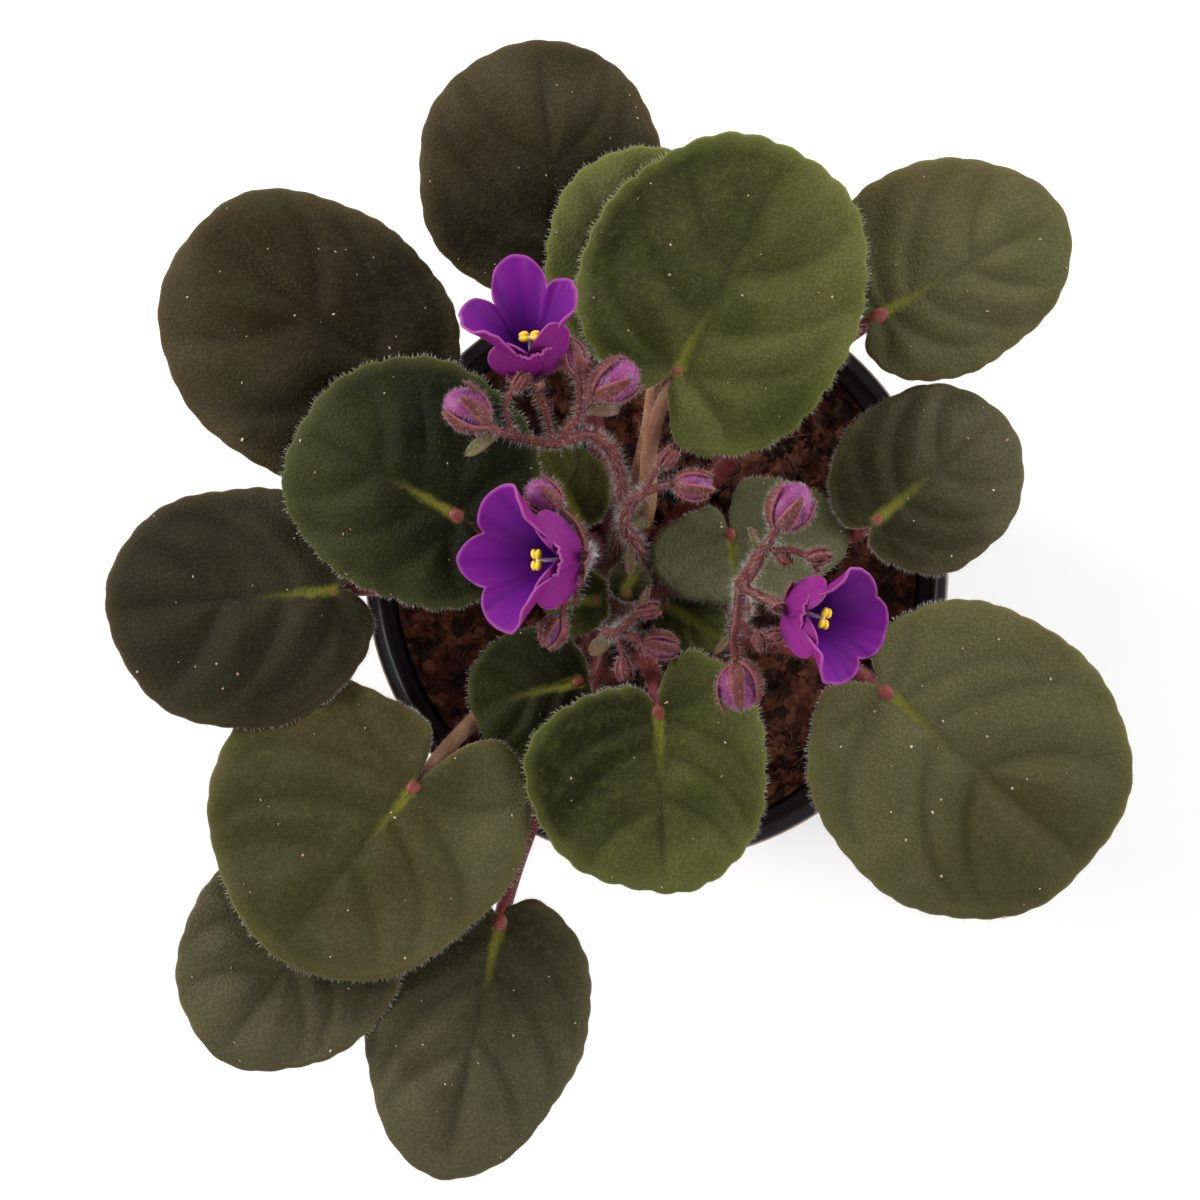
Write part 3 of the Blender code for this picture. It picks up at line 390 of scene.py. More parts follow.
def copies(template, places, ways, across, along, spin, name, material):
    """One piece with a copy of the template at every place, its Z turned to the way given there."""
    corners = np.array([point.co for point in template.vertices])
    faces = np.array([face.vertices[:] for face in template.polygons])
    ways = ways / np.linalg.norm(ways, axis=1, keepdims=True)
    level = np.where(np.abs(ways[:, 2:]) > 0.9, [[1.0, 0.0, 0.0]], [[0.0, 0.0, 1.0]])
    first = np.cross(ways, level)
    first /= np.linalg.norm(first, axis=1, keepdims=True)
    second = np.cross(ways, first)
    first, second = (np.cos(spin)[:, None] * first + np.sin(spin)[:, None] * second,
                     np.cos(spin)[:, None] * second - np.sin(spin)[:, None] * first)
    across = np.broadcast_to(across, (len(places), 2))
    grown = (places[:, None, :] + corners[None, :, 0:1] * (first * across[:, :1])[:, None, :]
             + corners[None, :, 1:2] * (second * across[:, 1:])[:, None, :]
             + corners[None, :, 2:3] * (ways * along[:, None])[:, None, :])
    turned_faces = faces[None, :, ::-1] + (np.arange(len(places)) * len(corners))[:, None, None]
    mesh = bpy.data.meshes.new(name)
    mesh.from_pydata(grown.reshape(-1, 3).tolist(), [], turned_faces.reshape(-1, faces.shape[1]).tolist())
    return piece_of(mesh, name, material)


def unite(pieces, name):
    """One object from several, which keeps their materials and attributes."""
    with bpy.context.temp_override(active_object=pieces[0], object=pieces[0], selected_objects=pieces,
                                   selected_editable_objects=pieces):
        bpy.ops.object.join()
    pieces[0].name = name
    pieces[0].data.name = name
    return pieces[0]


loam = Finish("peat_and_coir")
tone = loam.node("TexVoronoi", {"feature": "F1"}, {"Vector": loam.place(), "Scale": 420.0}, output="Color")
tone = loam.split(tone)[0]
fine = loam.cloud(0.7, 4.0)
patch = loam.cloud(6.0, 3.0).rise(0.35, 0.65)
brown = loam.node("ValToRGB", {"stops": ((0.0, (0.010, 0.005, 0.004)), (0.32, (0.040, 0.013, 0.007)),
                                         (0.62, (0.150, 0.042, 0.020)), (0.85, (0.300, 0.110, 0.055)))},
                  {"Fac": tone * 0.55 + fine * 0.35 + patch * 0.12})
soil_finish = loam.done(Base_Color=brown, Roughness=0.92, Normal=loam.bump(fine, 0.35, 0.8))

fibre = Finish("coir_fibre")
straw = fibre.mix(fibre.cloud(5.0), (0.13, 0.055, 0.03), (0.33, 0.17, 0.09))
fibre_finish = fibre.done(Base_Color=straw, Roughness=0.85, Normal=fibre.bump(fibre.cloud(0.3), 0.05))

bed_piece = piece_of(mesh_from(bed, "bed"), "bed", soil_finish)
loose = [bed_piece]


def strewn(count, inset):
    """Random places on the bed, as (x, y), no nearer to the pot's wall than the inset."""
    reach = (inner_wall(shoulder) - inset) * np.sqrt(rng.random(count))
    turn = rng.random(count) * 2 * math.pi
    return [(r * math.cos(a), r * math.sin(a)) for r, a in zip(reach, turn)]


for seed, (count, least, most) in enumerate(CRUMBS):
    spots = strewn(count, 2.6)
    size = least + (most - least) * rng.random(count) ** 1.6
    spots = np.array([(x, y, soil_height(x, y) + 0.18 * wide) for (x, y), wide in zip(spots, size)])
    ways = rng.normal(size=(count, 3)) * (1.0, 1.0, 0.5)
    wide = np.stack([size * (0.45 + 0.3 * rng.random(count)), size * (0.6 + 0.3 * rng.random(count))], 1)
    loose.append(copies(rough_stone(seed + 1, 2 if least > 2 else 1), spots * MM, ways, wide * MM,
                        1.2 * size * MM, rng.random(count) * ALL_ROUND, "crumbs", soil_finish))
count = STRANDS
spots = np.array([(x, y, soil_height(x, y) + 0.5) for x, y in strewn(count, 4.0)])
ways = rng.normal(size=(count, 3)) * (1.0, 1.0, 0.12)
loose.append(copies(hair_cone(), spots * MM, ways, STRAND_WIDTH * MM, (2.5 + 5 * rng.random(count)) * MM,
                    rng.random(count) * ALL_ROUND, "strands", fibre_finish))
soil = unite(loose, "peat_soil")
soil.data.shade_flat()
hand_over(soil, "potting_soil")


# ---------------------------------------------------------------- crown
# The short woody stem in the middle, rough with the scars of old leaf stalks. Its solid keeps its place.

CROWN_AT = Vector((-7.3, -2.8))
CROWN_PROFILE = ((93.0, 1.2), (92.0, 3.0), (90.0, 5.0), (86.0, 6.5), (82.0, 7.0), (79.0, 7.5))

bark = Finish("crown_bark")
scars = bark.node("TexVoronoi", {"feature": "DISTANCE_TO_EDGE"}, {"Vector": bark.place(), "Scale": 420.0})
age = bark.cloud(2.5, 4.0)
crown_finish = bark.done(
    Base_Color=bark.mix(age, (0.07, 0.030, 0.020), (0.22, 0.110, 0.055)),
    Roughness=0.85,
    Normal=bark.bump(scars + age * 0.4, 0.7, 0.9),
)
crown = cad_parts["crown"]
crown.data.materials.clear()
crown.data.materials.append(crown_finish)


# ---------------------------------------------------------------- leaves
# Thick velvety blades on fleshy red stalks. The blade is quilted between its veins, has shallow round teeth
# with a thin pale edge, a pink swelling where the stalk joins it, and short pale hairs all over.

OVAL = 2.15                  # how blunt a blade's outline is; 2 is an ellipse


@dataclass
class Leaf:
    """One leaf. Angles are degrees from +X; the blade's reaches are measured from its middle."""
    name: str
    at: tuple                # where the petiole meets the blade's upper face
    heading: float           # way the midrib points
    ahead: float             # from there forward to the blade's middle
    front: float
    back: tuple              # of the left and the right basal lobe
    sides: tuple             # left and right
    leaves_crown: float      # way the petiole starts
    level: float             # height at which it starts
    petiole: float = 2.0     # radius there
    climb: float = 2.0       # rise from the petiole to the tip
    droop: float = 8.0       # fall of the tip as the blade arches
    fall: float = 4.0        # fall of the side edges
    joint: float = 0.0       # from there forward to the swelling, with the notch ending behind it
    look: str = "olive"
    pale: float = 0.0        # way from the heading towards which painted light makes the blade paler
    tone: float = 0.0        # how much paler the whole blade is than its look
    stalk: str = "crimson"
    tooth: float = 0.3       # height of its edge's round teeth
    tip: float = OVAL        # how blunt its front is
    rise: float = 0.35       # slope at which the petiole leaves the crown
    arrive: float = 0.25     # slope at which it meets the blade
    small: bool = False


LEAVES = (
    Leaf("leaf_01", (-43.9, 31.2, 98), 142, 22, 32, (27, 26), (29, 21.5), 140, 78, 2.2, look="brown",
         pale=20, tone=-0.12),
    Leaf("leaf_02", (-16.6, 54.0, 99), 98, 20, 25, (23, 22), (25.5, 20.5), 97, 78, 2.2, look="brown",
         tone=-0.15),
    Leaf("leaf_03", (-1.0, 43.0, 106.6), 95, 14, 21, (20, 20), (18.5, 18.5), 80, 82, 2.0, look="green",
         pale=40, tone=-0.3, stalk="tan", tooth=0.5),
    Leaf("leaf_04", (1.7, 32.6, 115), 63, 20, 30, (24, 30), (25.5, 26.5), 67, 86, 1.9, joint=3.6,
         look="green", pale=-115, tone=0.12, stalk="tan", tooth=0.6),
    Leaf("leaf_05", (41.0, 47.0, 101), 30, 13, 27, (18, 19), (22, 18), 46, 78, 2.2, pale=-10, tone=0.25,
         tip=1.95),
    Leaf("leaf_06", (38.9, 7.7, 98.5), 40, 12, 21.5, (15.5, 14), (16.5, 17.5), 12, 82, 1.8, fall=2,
         joint=2.2, look="dusk", rise=0.1, arrive=2.6),
    Leaf("leaf_07", (42.3, -22.7, 101), -40, 19, 31.3, (28, 29), (29, 28.5), -28, 78, 2.2, pale=160,
         tone=0.25, rise=0.15),
    Leaf("leaf_08", (0.0, -26.4, 105), -88, 10, 23.5, (22, 15.5), (20, 24.6), -73, 82, 2.0, look="green",
         pale=60, tooth=0.6),
    Leaf("leaf_09", (-41.6, -35.9, 100), -130, 13, 33, (25.5, 18.5), (25.5, 33.5), -137, 86, 2.0, droop=6,
         joint=5.6, pale=110, tone=-0.18, stalk="tan", rise=0.1, arrive=1.6),
    Leaf("leaf_10", (-29.4, -66.0, 91.5), -103, 19, 31, (26.5, 24), (20.5, 21.5), -107, 78, 2.2, fall=5,
         look="dusk", tone=0.12, tip=1.75),
    Leaf("leaf_11", (-58.3, -61.7, 92), -130, 14, 24.5, (20, 20), (19, 22), -124, 81.5, 2.0, climb=0,
         droop=4, fall=2, look="dusk", tip=1.9, rise=0.2, arrive=0.0),
    Leaf("leaf_12", (-59.8, -3.8, 103), -175, 16, 27, (23.5, 22), (24, 20.5), 181, 78, 2.2, look="black",
         pale=150, tone=0.2),
    Leaf("leaf_13", (-36.9, 9.7, 112), 150, 9, 25, (23.5, 22.5), (20, 24), 157, 82, 2.0, look="bottle",
         pale=50, tone=-0.12, tooth=0.6),
    Leaf("leaf_14", (-14.2, 8.0, 99), 114, 7.3, 8.3, (8.3, 8.3), (8.5, 8.3), 118, 86, 1.2, 1, 2, 1.5,
         look="green", small=True),
    Leaf("leaf_15", (13.8, 4.2, 95.8), -83, 1, 9.2, (13.5, 9), (22, 15), 20, 86, 1.6, 0, 1, 0.8,
         joint=-2.4, look="grey", small=True),
    Leaf("leaf_16", (-14.8, -20.9, 95.6), 193, 7.5, 13, (10, 10), (12.5, 12), -118, 88, 1.4, 0, 2, 1.5,
         look="bottle", small=True),
    Leaf("leaf_17", (1.5, -6.5, 88), -30, 5.5, 7.0, (6.5, 6.5), (6.5, 6.5), -40, 85, 1.1, 0, 1, 1,
         look="green", small=True),
    Leaf("leaf_18", (-11.4, -5.7, 95.5), 183, 4, 5.5, (6.5, 6.5), (6.2, 6.6), -145, 91.5, 0.9, 0, 1, 0.8,
         look="green", rise=2.5, arrive=1.5, small=True),
    Leaf("leaf_19", (-6.0, -4.2, 99), 70, 2.0, 3.8, (3.6, 3.6), (3.7, 3.7), -60, 92.5, 0.8, 0, 0.5, 0.8,
         look="brown", rise=3.0, arrive=2.0, small=True),
)
BLADE_THICKNESS = 0.8
GROOVE = 0.016               # how deep the veins lie and the quilting stands, as shares of a blade's length
PUFF = 0.054
NOTCH = 1.7                  # from the swelling back to the end of the notch
NOTCH_WIDTH = 0.14           # radians, seen from the blade's middle
NECK = 0.65                  # the stalk's radius at the blade, as a share of that at the crown
SIDE_VEINS = ((0.02, 0.86, 0.34), (0.21, 0.82, 0.48), (0.48, 0.64, 0.42))   # start, reach and advance
TOOTH_PITCH = 5.2
EDGE_WAVES = 6               # slow rises and falls round a blade's edge
GRAINS = 0.008               # of grit, on each square millimetre
FACE_DOWN = (0.85, 0.75, 0.036, 0.3)    # hairs on each square millimetre, length, width, how far they stray
STALK_DOWN = (0.9, 1.0, 0.045, 0.25)
EDGE_DOWN = (4.2, 0.95, 0.06, 0.28)     # on each millimetre of the edge
LEAF_SEED = 100


def blade_reach(leaf, angle):
    """Distance of the blade's edge from its middle, seen from above, at an angle from the tip."""
    along = leaf.front if abs(angle) < math.pi / 2 else leaf.back[0 if angle > 0 else 1]
    across = leaf.sides[0 if angle > 0 else 1]
    power = leaf.tip if abs(angle) < math.pi / 2 else OVAL
    reach = (abs(math.cos(angle) / along) ** power + abs(math.sin(angle) / across) ** power) ** (-1 / power)
    depth = max(0.04, 1 - (leaf.ahead - leaf.joint + NOTCH) / (0.5 * sum(leaf.back)))
    from_notch = max(0.0, math.pi - abs(angle)) / NOTCH_WIDTH
    return reach * (1 - depth * math.exp(-from_notch ** 1.6))


def blade_height(leaf, forward, aside):
    """Height of the blade's upper face, forward of the petiole's end and to the left of the midrib."""
    along = forward / (leaf.ahead + leaf.front)
    across = aside / leaf.sides[0 if aside > 0 else 1]
    return leaf.at[2] + leaf.climb * along - leaf.droop * along ** 2 - leaf.fall * across ** 2


def vein_lines(leaf, rng):
    """The midrib and the side veins, as rows of (forward, aside) points from the swelling."""
    length = leaf.ahead + leaf.front - leaf.joint
    lines = [[(0.9 * length * t, 0.0) for t in np.linspace(0, 1, 14)]]
    for side in (1, -1):
        width = leaf.sides[0 if side > 0 else 1]
        for start, reach, advance in SIDE_VEINS:
            start += 0.08 * (rng.random() - 0.5)
            reach *= 0.86 + 0.22 * rng.random()
            advance *= 0.85 + 0.3 * rng.random()
            lines.append([(length * (start + advance * t ** 1.35),
                           side * width * reach * (1 - (1 - t) ** 1.7)) for t in np.linspace(0, 1, 13)])
        lobe = leaf.back[0 if side > 0 else 1]
        lines.append([(-0.42 * lobe * t ** 1.6, side * width * 0.66 * (1 - (1 - t) ** 1.4))
                      for t in np.linspace(0, 1, 9)])
    return lines


def from_veins(points, lines):
    """Distance of every (forward, aside) point to the nearest vein, in millimetres."""
    nearest = np.full(len(points), 1e6)
    for line in lines:
        line = np.array(line)
        for start, end in zip(line, line[1:]):
            run = end - start
            share = np.clip(((points - start) @ run) / (run @ run), 0, 1)
            gap = points - start - share[:, None] * run
            nearest = np.minimum(nearest, np.hypot(gap[:, 0], gap[:, 1]))
    return nearest


def spun_disc(sectors, rings):
    """A flat unit disc, split into rings and sectors."""
    disc = spun([((ring / rings) ** 0.85, 0.0, 0.0) for ring in range(rings + 1)], sectors, 0.00001)
    disc.normal_update()
    if sum(face.normal.z for face in disc.faces) < 0:
        bmesh.ops.reverse_faces(disc, faces=disc.faces)
    return disc


def walled(made, thickness, offset, name, *materials):
    """A piece from an open surface, thickened. A second material is for its back, the last for its edge."""
    piece = piece_of(mesh_from(made, name), name, *materials)
    wall = piece.modifiers.new("thickness", "SOLIDIFY")
    wall.thickness = thickness * MM
    wall.offset = offset
    if len(materials) > 1:
        wall.material_offset = 1
        wall.material_offset_rim = len(materials) - 1
    return piece_of(evaluated(piece), name)


def sheet(disc, shape, thickness, name, *materials):
    """Move each point of the disc to shape(reach, angle), which also gives what is noted there, and give
    the sheet its thickness. The note is kept as a vector attribute."""
    note = disc.verts.layers.float_vector.new("note")
    for point in disc.verts:
        reach = point.co.length
        place, noted = shape(reach, math.atan2(point.co.y, point.co.x) if reach > 1e-6 else 0.0)
        point.co = MM * Vector(place)
        point[note] = Vector(noted)
    return walled(disc, thickness, -1.0, name, *materials)


def tube(path, radii, sides, name, material):
    """A round stem along the path, closed at both ends."""
    curve = bpy.data.curves.new(name, "CURVE")
    curve.dimensions = "3D"
    curve.bevel_depth = MM
    curve.bevel_resolution = sides // 2 - 2
    curve.use_fill_caps = True
    spline = curve.splines.new("POLY")
    spline.points.add(len(path) - 1)
    for knot, place, radius in zip(spline.points, path, radii):
        knot.co = (*(MM * np.array(place[:3])), 1.0)
        knot.radius = radius
    guide = bpy.data.objects.new(name, curve)
    bpy.context.scene.collection.objects.link(guide)
    mesh = evaluated(guide)
    welded = bmesh.new()
    welded.from_mesh(mesh)
    bmesh.ops.remove_doubles(welded, verts=welded.verts, dist=0.005 * MM)
    welded.to_mesh(mesh)
    welded.free()
    mesh.materials.clear()
    return piece_of(mesh, name, material)


def rows(items, field):
    """A field of every vertex, as rows of three numbers."""
    numbers = np.empty(len(items) * 3)
    items.foreach_get(field, numbers)
    return numbers.reshape(-1, 3)


def skin_points(mesh, density, rng, slot=None):
    """Places on the mesh, or on one material's faces, and the outward ways there, at about density for each
    square millimetre. The triangles are put in order first, so that every run picks the same places."""
    mesh.calc_loop_triangles()
    corners = rows(mesh.vertices, "co")
    triangles = np.array([triangle.vertices for triangle in mesh.loop_triangles
                          if slot in (None, triangle.material_index)])
    lowest_first = (triangles.argmin(axis=1)[:, None] + np.arange(3)) % 3
    triangles = np.take_along_axis(triangles, lowest_first, axis=1)
    triangles = triangles[np.lexsort(triangles.T[::-1])]
    first, second, third = (corners[triangles[:, side]] for side in range(3))
    square = np.cross(second - first, third - first)
    area = np.linalg.norm(square, axis=1)
    count = int(0.5 * area.sum() / MM ** 2 * density)
    chosen = rng.choice(len(area), count, p=area / area.sum())
    u, v = rng.random((2, count, 1))
    folded = u + v > 1
    u, v = np.where(folded, 1 - u, u), np.where(folded, 1 - v, v)
    places = first[chosen] + u * (second - first)[chosen] + v * (third - first)[chosen]
    return places, square[chosen] / area[chosen, None]


hair_shape = hair_cone()


def hairs(places, ways, down, rng, material):
    """Tapered hairs rooted at the places. Down ends with their length, their width and how far they stray."""
    length, width, lean = down[-3:]
    count = len(places)
    ways = ways + lean * rng.normal(size=(count, 3))
    longs = length * (0.55 + 0.75 * rng.random(count)) * MM
    roots = places - 0.05 * MM * ways / np.linalg.norm(ways, axis=1, keepdims=True)
    spin = rng.random(count) * ALL_ROUND
    return copies(hair_shape, roots, ways, width * MM, longs, spin, "hairs", material)


def downy(pieces, down, rng, material):
    """Hairs on several pieces. Down starts with how many stand on each square millimetre."""
    grown = []
    for piece in pieces:
        places, ways = skin_points(piece.data, down[0], rng)
        if len(places):
            grown.append(hairs(places, ways, down, rng, material))
    return grown


def scaled(colour, share):
    return tuple(share * part for part in colour)


def down_finish(name, colour):
    """Pale plant hair."""
    down = Finish(name)
    return down.done(Base_Color=down.mix(down.cloud(3.0), scaled(colour, 0.85), colour), Roughness=0.45)


leaf_hair = down_finish("leaf_hair", (0.150, 0.140, 0.070))
edge_hair = down_finish("edge_hair", (0.84, 0.82, 0.76))
stem_hair = down_finish("stem_hair", (0.88, 0.84, 0.82))
bud_hair = down_finish("bud_hair", (0.88, 0.66, 0.72))


def blade_finish(name, deep, bright, flush, margin):
    """A blade's upper face: clouds of three tones, made paler by painted light towards one side and the edge,
    painted shade in the vein grooves, a yellow-green midrib and a pebbled skin.
    """
    blade = Finish(name)
    forward, aside, reach = blade.split(blade.attribute("note", "Vector"))
    vein = blade.attribute("vein", "Fac")
    outer = blade.attribute("outer", "Fac")
    broad = blade.cloud(22.0, 3.0)
    blush = blade.cloud(34.0, 2.0).rise(0.48, 0.68)
    fine = blade.cloud(1.6, 4.0)
    pebble = blade.node("TexVoronoi", {"feature": "F1"}, {"Vector": blade.place(), "Scale": 1750.0})
    # Painted light, mixed with the clouds: brighter on the side the leaf's pale way points to and near its
    # edge, shifted by each leaf's own tone.
    colour = blade.mix((outer + broad * 0.8).rise(0.45, 1.35), deep, bright)
    colour = blade.mix(blush * 0.7, colour, flush)
    lush = blade.cloud(15.0, 2.0).rise(0.52, 0.72)
    red, green, blue = bright
    colour = blade.mix(lush * 0.35, colour, (0.40 * red, 0.62 * green, 0.28 * blue))
    colour = blade.mix(fine.rise(0.45, 0.75) * 0.15, colour, scaled(bright, 1.6))
    colour = blade.mix(pebble.rise(0.25, 0.6) * 0.30, colour, scaled(deep, 0.4))
    # Painted shade: darker along the vein grooves.
    colour = blade.mix(vein * 0.30, colour, scaled(deep, 0.5))
    wander = blade.cloud(2.2, 3.0)
    streak = (aside.size() + forward * 0.045 + wander * 1.6 - 1.75).rise(0.75, -0.65)
    streak = streak * forward.rise(17.0, 2.0) * forward.rise(-1.6, 0.2)
    colour = blade.mix(streak * 0.80, colour, (0.160, 0.155, 0.020))
    colour = blade.mix(reach.rise(0.88, 1.0) * 0.35, colour, margin)
    colour = blade.mix(reach.rise(0.98, 0.995) * 0.6, colour, scaled(margin, 1.2))
    return blade.done(
        Base_Color=colour,
        Roughness=fine * 0.25 + 0.50,
        Normal=blade.bump(pebble * 0.9 + fine * 0.5, 0.18, 0.9),
        Sheen_Weight=0.12, Sheen_Roughness=0.35, Sheen_Tint=(0.95, 0.85, 0.42), Specular_IOR_Level=0.07,
    )


def plain_leaf_finish(name, first, second, size, roughness=0.6):
    """Two colours in patches of about size millimetres, with a fine skin."""
    leafy = Finish(name)
    mottle = leafy.cloud(size, 4.0)
    return leafy.done(Base_Color=leafy.mix(mottle.rise(0.3, 0.7), first, second), Roughness=roughness,
                      Normal=leafy.bump(leafy.cloud(0.8, 3.0), 0.12, 0.6), Specular_IOR_Level=0.3)


LOOKS = {name: blade_finish(name + "_blade", *colours) for name, colours in {
    "olive": ((0.046, 0.044, 0.014), (0.105, 0.100, 0.042), (0.072, 0.052, 0.020), (0.110, 0.095, 0.030)),
    "brown": ((0.008, 0.006, 0.0015), (0.058, 0.047, 0.022), (0.018, 0.011, 0.003), (0.070, 0.050, 0.020)),
    "dusk": ((0.022, 0.020, 0.008), (0.088, 0.080, 0.042), (0.036, 0.026, 0.012), (0.100, 0.080, 0.035)),
    "black": ((0.014, 0.014, 0.006), (0.036, 0.032, 0.017), (0.020, 0.017, 0.007), (0.075, 0.050, 0.024)),
    "green": ((0.016, 0.018, 0.003), (0.110, 0.112, 0.032), (0.026, 0.038, 0.005), (0.130, 0.145, 0.030)),
    "bottle": ((0.005, 0.005, 0.001), (0.036, 0.040, 0.012), (0.010, 0.013, 0.002), (0.070, 0.080, 0.022)),
    "grey": ((0.105, 0.108, 0.052), (0.150, 0.150, 0.080), (0.110, 0.105, 0.045), (0.110, 0.115, 0.040)),
}.items()}
leaf_back = plain_leaf_finish("leaf_back", (0.15, 0.055, 0.040), (0.09, 0.095, 0.040), 7.0)
leaf_rim = plain_leaf_finish("leaf_rim", (0.12, 0.11, 0.035), (0.16, 0.08, 0.04), 5.0)
STALKS = {
    "crimson": plain_leaf_finish("stalk_crimson", (0.13, 0.018, 0.020), (0.24, 0.050, 0.045), 6.0, 0.45),
    "tan": plain_leaf_finish("stalk_tan", (0.26, 0.105, 0.060), (0.34, 0.190, 0.100), 6.0, 0.45),
}
stalk_pink = plain_leaf_finish("stalk_pink", (0.24, 0.060, 0.042), (0.14, 0.026, 0.022), 2.0, 0.5)
grit = plain_leaf_finish("perlite_grit", (0.70, 0.58, 0.48), (0.40, 0.17, 0.11), 2.0, 0.8)


def crown_radius(height):
    """Radius of the crown's flank at a height."""
    for (upper, narrow), (lower, wide) in zip(CROWN_PROFILE, CROWN_PROFILE[1:]):
        if height >= lower:
            return wide + (narrow - wide) * (height - lower) / (upper - lower)
    return CROWN_PROFILE[-1][1]


def petiole_path(leaf):
    """Points and radii of the stalk, from the crown's flank to the blade and on under it as the midrib."""
    start, heading = math.radians(leaf.leaves_crown), math.radians(leaf.heading)
    out = Vector((math.cos(start), math.sin(start), leaf.rise))
    tilt = leaf.petiole * leaf.rise / math.hypot(1, leaf.rise)
    foot = Vector((*(CROWN_AT + (crown_radius(leaf.level) + GAP + tilt) * out.xy), leaf.level))
    neck = NECK * leaf.petiole
    end = Vector(leaf.at) - Vector((0, 0, neck + 0.2))
    arrival = Vector((math.cos(heading), math.sin(heading), leaf.arrive)).normalized()
    pull = 0.38 * (end - foot).length
    first, second = foot + pull * out.normalized(), end - pull * arrival
    path, radii = [], []
    for t in np.linspace(0, 1, 25):
        path.append((1 - t) ** 3 * foot + 3 * t * (1 - t) ** 2 * first
                    + 3 * t * t * (1 - t) * second + t ** 3 * end)
        radii.append(leaf.petiole + (neck - leaf.petiole) * t ** 1.5)
    length = leaf.ahead + leaf.front
    for share in np.linspace(0.06, 0.8, 12):
        run = share * length
        radii.append(neck * (0.9 - 1.0 * share))
        path.append(Vector((end.x + run * math.cos(heading), end.y + run * math.sin(heading),
                            blade_height(leaf, run, 0.0) - GROOVE * length - 0.9 * radii[-1] - 0.3)))
    return path, radii


def finished(parts, name, node):
    """Join the parts as one piece, which takes the place of its solid."""
    hand_over(unite(parts, name), node)


